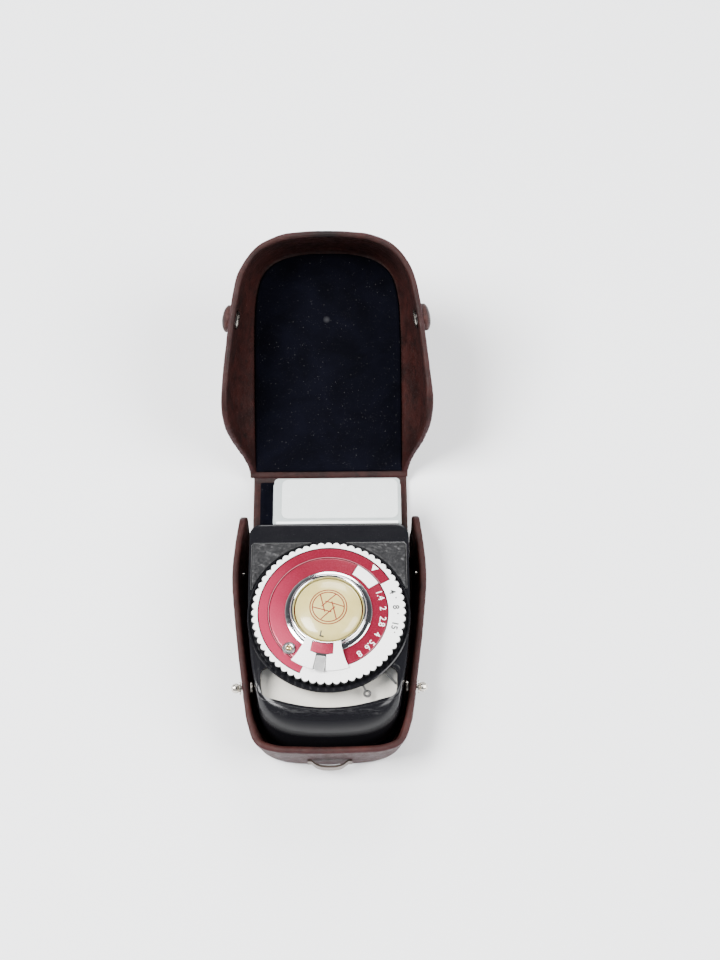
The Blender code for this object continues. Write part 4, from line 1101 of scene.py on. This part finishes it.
def build_disc():
    top = RING_Z[1]
    profile = [(2.7, top - 2.0), (21.4, top - 2.0), (21.4, top - 0.12), (21.25, top + 0.04),
               (21.0, top + 0.1),
               (2.7, top + 0.1)]
    ob = shape("disc_lacquer", turned(profile, 200), CRIMSON)
    carve(ob, prism(sector(17.0, 24.0, 31.4, 60.6, 16), top - 0.7, 40))
    belongs(soften(ob, 0.1), "dial_disc", "crimson", "red_disc")
    window = sector(17.25, 21.5, 32.3, 59.7, 24)
    plate = shape("window_plate", prism(window, top - 0.45, top + 0.04), WHITE)
    belongs(soften(plate, 0.15), "dial_disc", "aluminium", "speed_window_plate")
    shade = prism(sector(21.3, 21.62, 31.4, 60.6, 16), top + 0.02, top + 0.12)
    belongs(shape("window_shade", shade, BLACK_INK), "dial_disc", "black_enamel")
    numbers = (("1.4", 19.0), ("2", 3.5), ("2.8", -11.5), ("4", -27.0), ("5.6", -41.5), ("8", -56.0))
    for words, angle in numbers:
        name = "disc_number_" + words.replace(".", "_")
        letter(name, words, 19.6, angle, top + 0.12, 3.3, WHITE, "dial_disc", "aluminium")
    a = radians(225.0)
    place = (20.0 * cos(a), 20.0 * sin(a))
    ring = [(1.15, top + 0.4), (2.3, top + 0.4), (2.35, top + 0.8), (2.0, top + 1.15), (1.5, top + 1.2),
            (1.15, top + 1.0)]
    belongs(shape("rivet_rim", turned(ring, 48, place), STEEL), "dial_disc", "steel")
    core = [(0, top + 0.3), (1.05, top + 0.3), (1.05, top + 1.2), (0.8, top + 1.5), (0.4, top + 1.6),
            (0, top + 1.62)]
    belongs(shape("rivet_core", turned(core, 32, place), BRASS), "dial_disc", "brass", "setting_rivet")
    chrome = smooth_path([(12.4, top + 0.4), (15.2, top + 0.4), (15.75, top + 0.55), (15.7, top + 0.85),
                          (15.2, top + 1.05), (14.5, top + 1.2)], 3)
    chrome += [(14.25, top + 1.2), (14.2, top + 1.0), (13.95, top + 1.0)]
    chrome += smooth_path([(13.95, top + 2.2), (13.75, top + 2.75), (13.3, top + 3.0), (12.85, top + 2.85),
                           (12.5, top + 2.4)], 3)
    belongs(shape("bezel_chrome", turned(chrome, 180), CHROME), "dial_disc", "chrome", "chrome_bezel")
    dome = [(0, top + 0.4), (CAP_R, top + 0.4)]
    rise = CAP_TOP_Z - (top + 2.0)
    dome += [(CAP_R * cos(radians(4 * i)), top + 2.0 + rise * sin(radians(4 * i))) for i in range(22)]
    dome.append((0, CAP_TOP_Z))
    belongs(shape("dome_cream", turned(dome, 160), CREAM), "dial_disc", "cream", "centre_cap")
    build_index(top)
    build_icon(top + 2.0, rise)


def ramped(outline, inner_z, outer_z, thick):
    """A thin plate that stands on the bezel at its inner end and comes down to the disc at its outer end."""
    start, end = WING_R

    def lift(x, y):
        share = min(1.0, max(0.0, (hypot(x, y) - start) / (end - start)))
        return inner_z + (outer_z - inner_z) * share

    return loft([[(x, y, lift(x, y)) for x, y in outline], [(x, y, lift(x, y) + thick) for x, y in outline]])


def build_index(top):
    turn = Matrix.Rotation(radians(INDEX_ANGLE), 4, "Z")
    inner_z, outer_z = top + 2.75, top + 0.5
    for name, side in (("left", -1), ("right", 1)):
        rows = []
        for radius, near, far in ((13.2, 17.0, 28.5), (15.0, 15.5, 26.5), (17.2, 14.0, 26.0),
                                  (17.4, 6.2, 26.0),
                                  (20.0, 6.0, 26.0), (22.9, 5.8, 27.0)):
            angles = [radians(side * (near + (far - near) * i / 12)) for i in range(13)]
            height = inner_z + (outer_z - inner_z) * (radius - WING_R[0]) / (WING_R[1] - WING_R[0])
            rows.append([(radius * cos(a), radius * sin(a), height) for a in angles])
        bm = bmesh.new()
        layers = []
        for lift in (0.0, 0.4):
            layers.append([[bm.verts.new((x, y, z + lift)) for x, y, z in row] for row in rows])
        for layer in layers:
            for a, b in zip(layer, layer[1:]):
                for i in range(12):
                    bm.faces.new((a[i], a[i + 1], b[i + 1], b[i]))
        rim = [layer[0] + [row[-1] for row in layer[1:]] + layer[-1][-2::-1]
               + [row[0] for row in layer[-2:0:-1]]
               for layer in layers]
        for i in range(len(rim[0])):
            j = (i + 1) % len(rim[0])
            bm.faces.new((rim[0][i], rim[0][j], rim[1][j], rim[1][i]))
        wing = shape(f"index_wing_{name}", bm, WHITE, turn)
        stands_for = ("index_sector",) if name == "left" else ()
        belongs(soften(wing, 0.12), "dial_disc", "aluminium", *stands_for)
    red = shape("index_red", ramped(sector(13.4, 17.0, -15.0, 15.0, 16), top + 2.75, top + 0.55, 0.25),
                CRIMSON, turn)
    belongs(red, "dial_disc", "crimson")
    line = ramped(sector(13.3, 17.4, -17.0, 17.0, 16), top + 2.6, top + 0.35, 0.3)
    belongs(shape("index_red_line", line, BLACK_INK, turn), "dial_disc", "black_enamel")
    bridge = ramped(sector(17.5, 22.7, -6.6, 6.6, 16), top + 2.55, top + 0.3, 0.3)
    belongs(shape("index_bridge", bridge, BLACK_INK, turn), "dial_disc", "black_enamel")
    slider = [(17.9, -1.6), (18.3, -1.8), (23.3, -1.9), (23.7, -1.5), (23.7, 1.5), (23.3, 1.9), (18.3, 1.8),
              (17.9, 1.6)]
    slide = shape("slider_plate", prism(slider, top + 1.3, top + 1.9), BRUSHED, turn)
    belongs(soften(slide, 0.2), "dial_disc", "chrome", "index_slider")


def build_icon(base, rise):
    """A small generic lens-iris drawing on the dome, and the black tick at its lower edge."""
    def on_dome(x, y):
        return Vector((x, y, base + rise * (max(0.0, 1 - (x * x + y * y) / CAP_R ** 2)) ** 0.5 + 0.02))

    strokes = []
    around = [radians(7.5 * i) for i in range(49)]
    for radius in (6.6, 5.7):
        strokes.append([on_dome(radius * cos(a), radius * sin(a)) for a in around])
    for i in range(6):
        a, b = radians(60 * i), radians(60 * i + 118)
        first, last = (5.7 * cos(a), 5.7 * sin(a)), (5.7 * cos(b) * 0.42, 5.7 * sin(b) * 0.42)
        (ax, ay), (bx, by) = first, last
        strokes.append([on_dome(ax + (bx - ax) * t / 8, ay + (by - ay) * t / 8) for t in range(9)])
    bm = bmesh.new()
    for stroke in strokes:
        rows = []
        for i, p in enumerate(stroke):
            along = stroke[min(i + 1, len(stroke) - 1)] - stroke[max(i - 1, 0)]
            across = Vector((-along.y, along.x, 0)).normalized() * 0.19
            rows.append([bm.verts.new(q) for q in (p - across, p + across, p + across + Vector((0, 0, 0.04)),
                                                   p - across + Vector((0, 0, 0.04)))])
        for low, high in zip(rows, rows[1:]):
            for j in range(4):
                k = (j + 1) % 4
                bm.faces.new((low[j], low[k], high[k], high[j]))
        for row in (rows[0], rows[-1]):
            bm.faces.new(row)
    belongs(shape("iris_icon", bm, INK), "dial_disc", "cream")
    tick = [(-0.7, -11.2), (0.9, -11.2), (0.9, -10.8), (-0.15, -10.75), (-0.15, -9.2), (-0.6, -9.2)]
    turn = Matrix.Rotation(radians(INDEX_ANGLE - 275), 3, "Z")
    flat = [turn @ Vector((x, y, 0)) for x, y in tick]
    bm = loft([[tuple(on_dome(p.x, p.y) + Vector((0, 0, lift))) for p in flat] for lift in (-0.2, 0.05)])
    belongs(shape("dome_tick", bm, BLACK_INK), "dial_disc", "cream")


def build_seat():
    seat = [(26.2, TOP_Z + 0.1), (29.6, TOP_Z + 0.1), (29.55, TOP_Z + 0.6), (29.2, TOP_Z + 0.85),
            (28.8, TOP_Z + 0.8),
            (28.5, TOP_Z + 0.45), (26.2, TOP_Z + 0.4)]
    belongs(shape("dial_seat", turned(seat, 180), ENAMEL), "meter", "black_enamel", "dial_bezel")


# ---------------------------------------------------------------- looks of the nodes kept as they are

KEPT = {
    NICKEL: ("stud_left", "stud_right", "stud_washer_left", "stud_washer_right", "wall_rivet_left",
             "wall_rivet_right"),
    BRONZE: ("strap_loop",),
    ENAMEL: ("back_cover", "cell_frame"),
    CARD: ("series_resistor",),
    OPAL: ("honeycomb_grid",),
    BRASS: ("dial_spindle", "movement_frame", "hairspring", "zero_screw"),
    STEEL: ("flap_hinge_pin", "cover_screw_1", "cover_screw_2", "cover_screw_3", "cover_screw_4",
            "spring_washer",
            "iron_core"),
    SELENIUM: ("photocell",),
    COPPER: ("coil_frame",),
    MAGNET: ("magnet_ring",),
}


def dress_kept():
    for look, names in KEPT.items():
        for name in names:
            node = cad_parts[name]
            node.data.materials.clear()
            node.data.materials.append(look)
            soften(node, 0.12 if name != "strap_loop" else 0.25)


# ---------------------------------------------------------------- floor and light

def build_stage():
    bm = bmesh.new()
    corners = [bm.verts.new((x, y, -FLOOR_DROP)) for x, y in ((-3, -3), (3, -3), (3, 3), (-3, 3))]
    bm.faces.new(corners)
    mesh = bpy.data.meshes.new("floor")
    bm.to_mesh(mesh)
    bm.free()
    floor = linked("floor", mesh)
    k = Look("white sweep")
    k.set(Base_Color=k.blend(k.ramp(k.noise(900, 2), (0.35, 0.0), (0.7, 1.0)), (0.915, 0.92, 0.935),
                             (0.935, 0.94, 0.95)),
          Roughness=0.75)
    mesh.materials.append(k.mat)
    world = bpy.data.worlds.new("studio")
    bpy.context.scene.world = world
    world.use_nodes = True
    tree = world.node_tree
    ground = tree.nodes["Background"]
    coord = tree.nodes.new("ShaderNodeTexCoord")
    split = tree.nodes.new("ShaderNodeSeparateXYZ")
    band = tree.nodes.new("ShaderNodeValToRGB")
    tree.links.new(coord.outputs["Generated"], split.inputs[0])
    tree.links.new(split.outputs["Z"], band.inputs["Fac"])
    band.color_ramp.elements[0].position = 0.0
    band.color_ramp.elements[0].color = (0.62, 0.63, 0.65, 1.0)
    band.color_ramp.elements[1].position = 0.8
    band.color_ramp.elements[1].color = (0.07, 0.072, 0.08, 1.0)
    tree.links.new(band.outputs["Color"], ground.inputs["Color"])
    ground.inputs["Strength"].default_value = 1.0
    lamps = (("key", (-0.75, -0.10, 1.20), 0.7, 57.0), ("fill", (0.95, -0.25, 0.95), 0.9, 34.0),
             ("back", (0.15, 1.3, 0.75), 0.7, 20.0))
    for name, place, size, power in lamps:
        data = bpy.data.lights.new(name, "AREA")
        data.shape = "SQUARE"
        data.size = size
        data.energy = power
        lamp = linked(name, data)
        lamp.location = place
        lamp.rotation_euler = (Vector((0, 0.02, 0.01)) - Vector(place)).to_track_quat("-Z", "Y").to_euler()


build_tray()
build_lid()
build_neck()
build_linings()
build_snaps()
build_casing()
build_window()
build_hands()
build_panels()
build_flap()
build_dial_ring()
build_disc()
build_seat()
dress_kept()
build_stage()
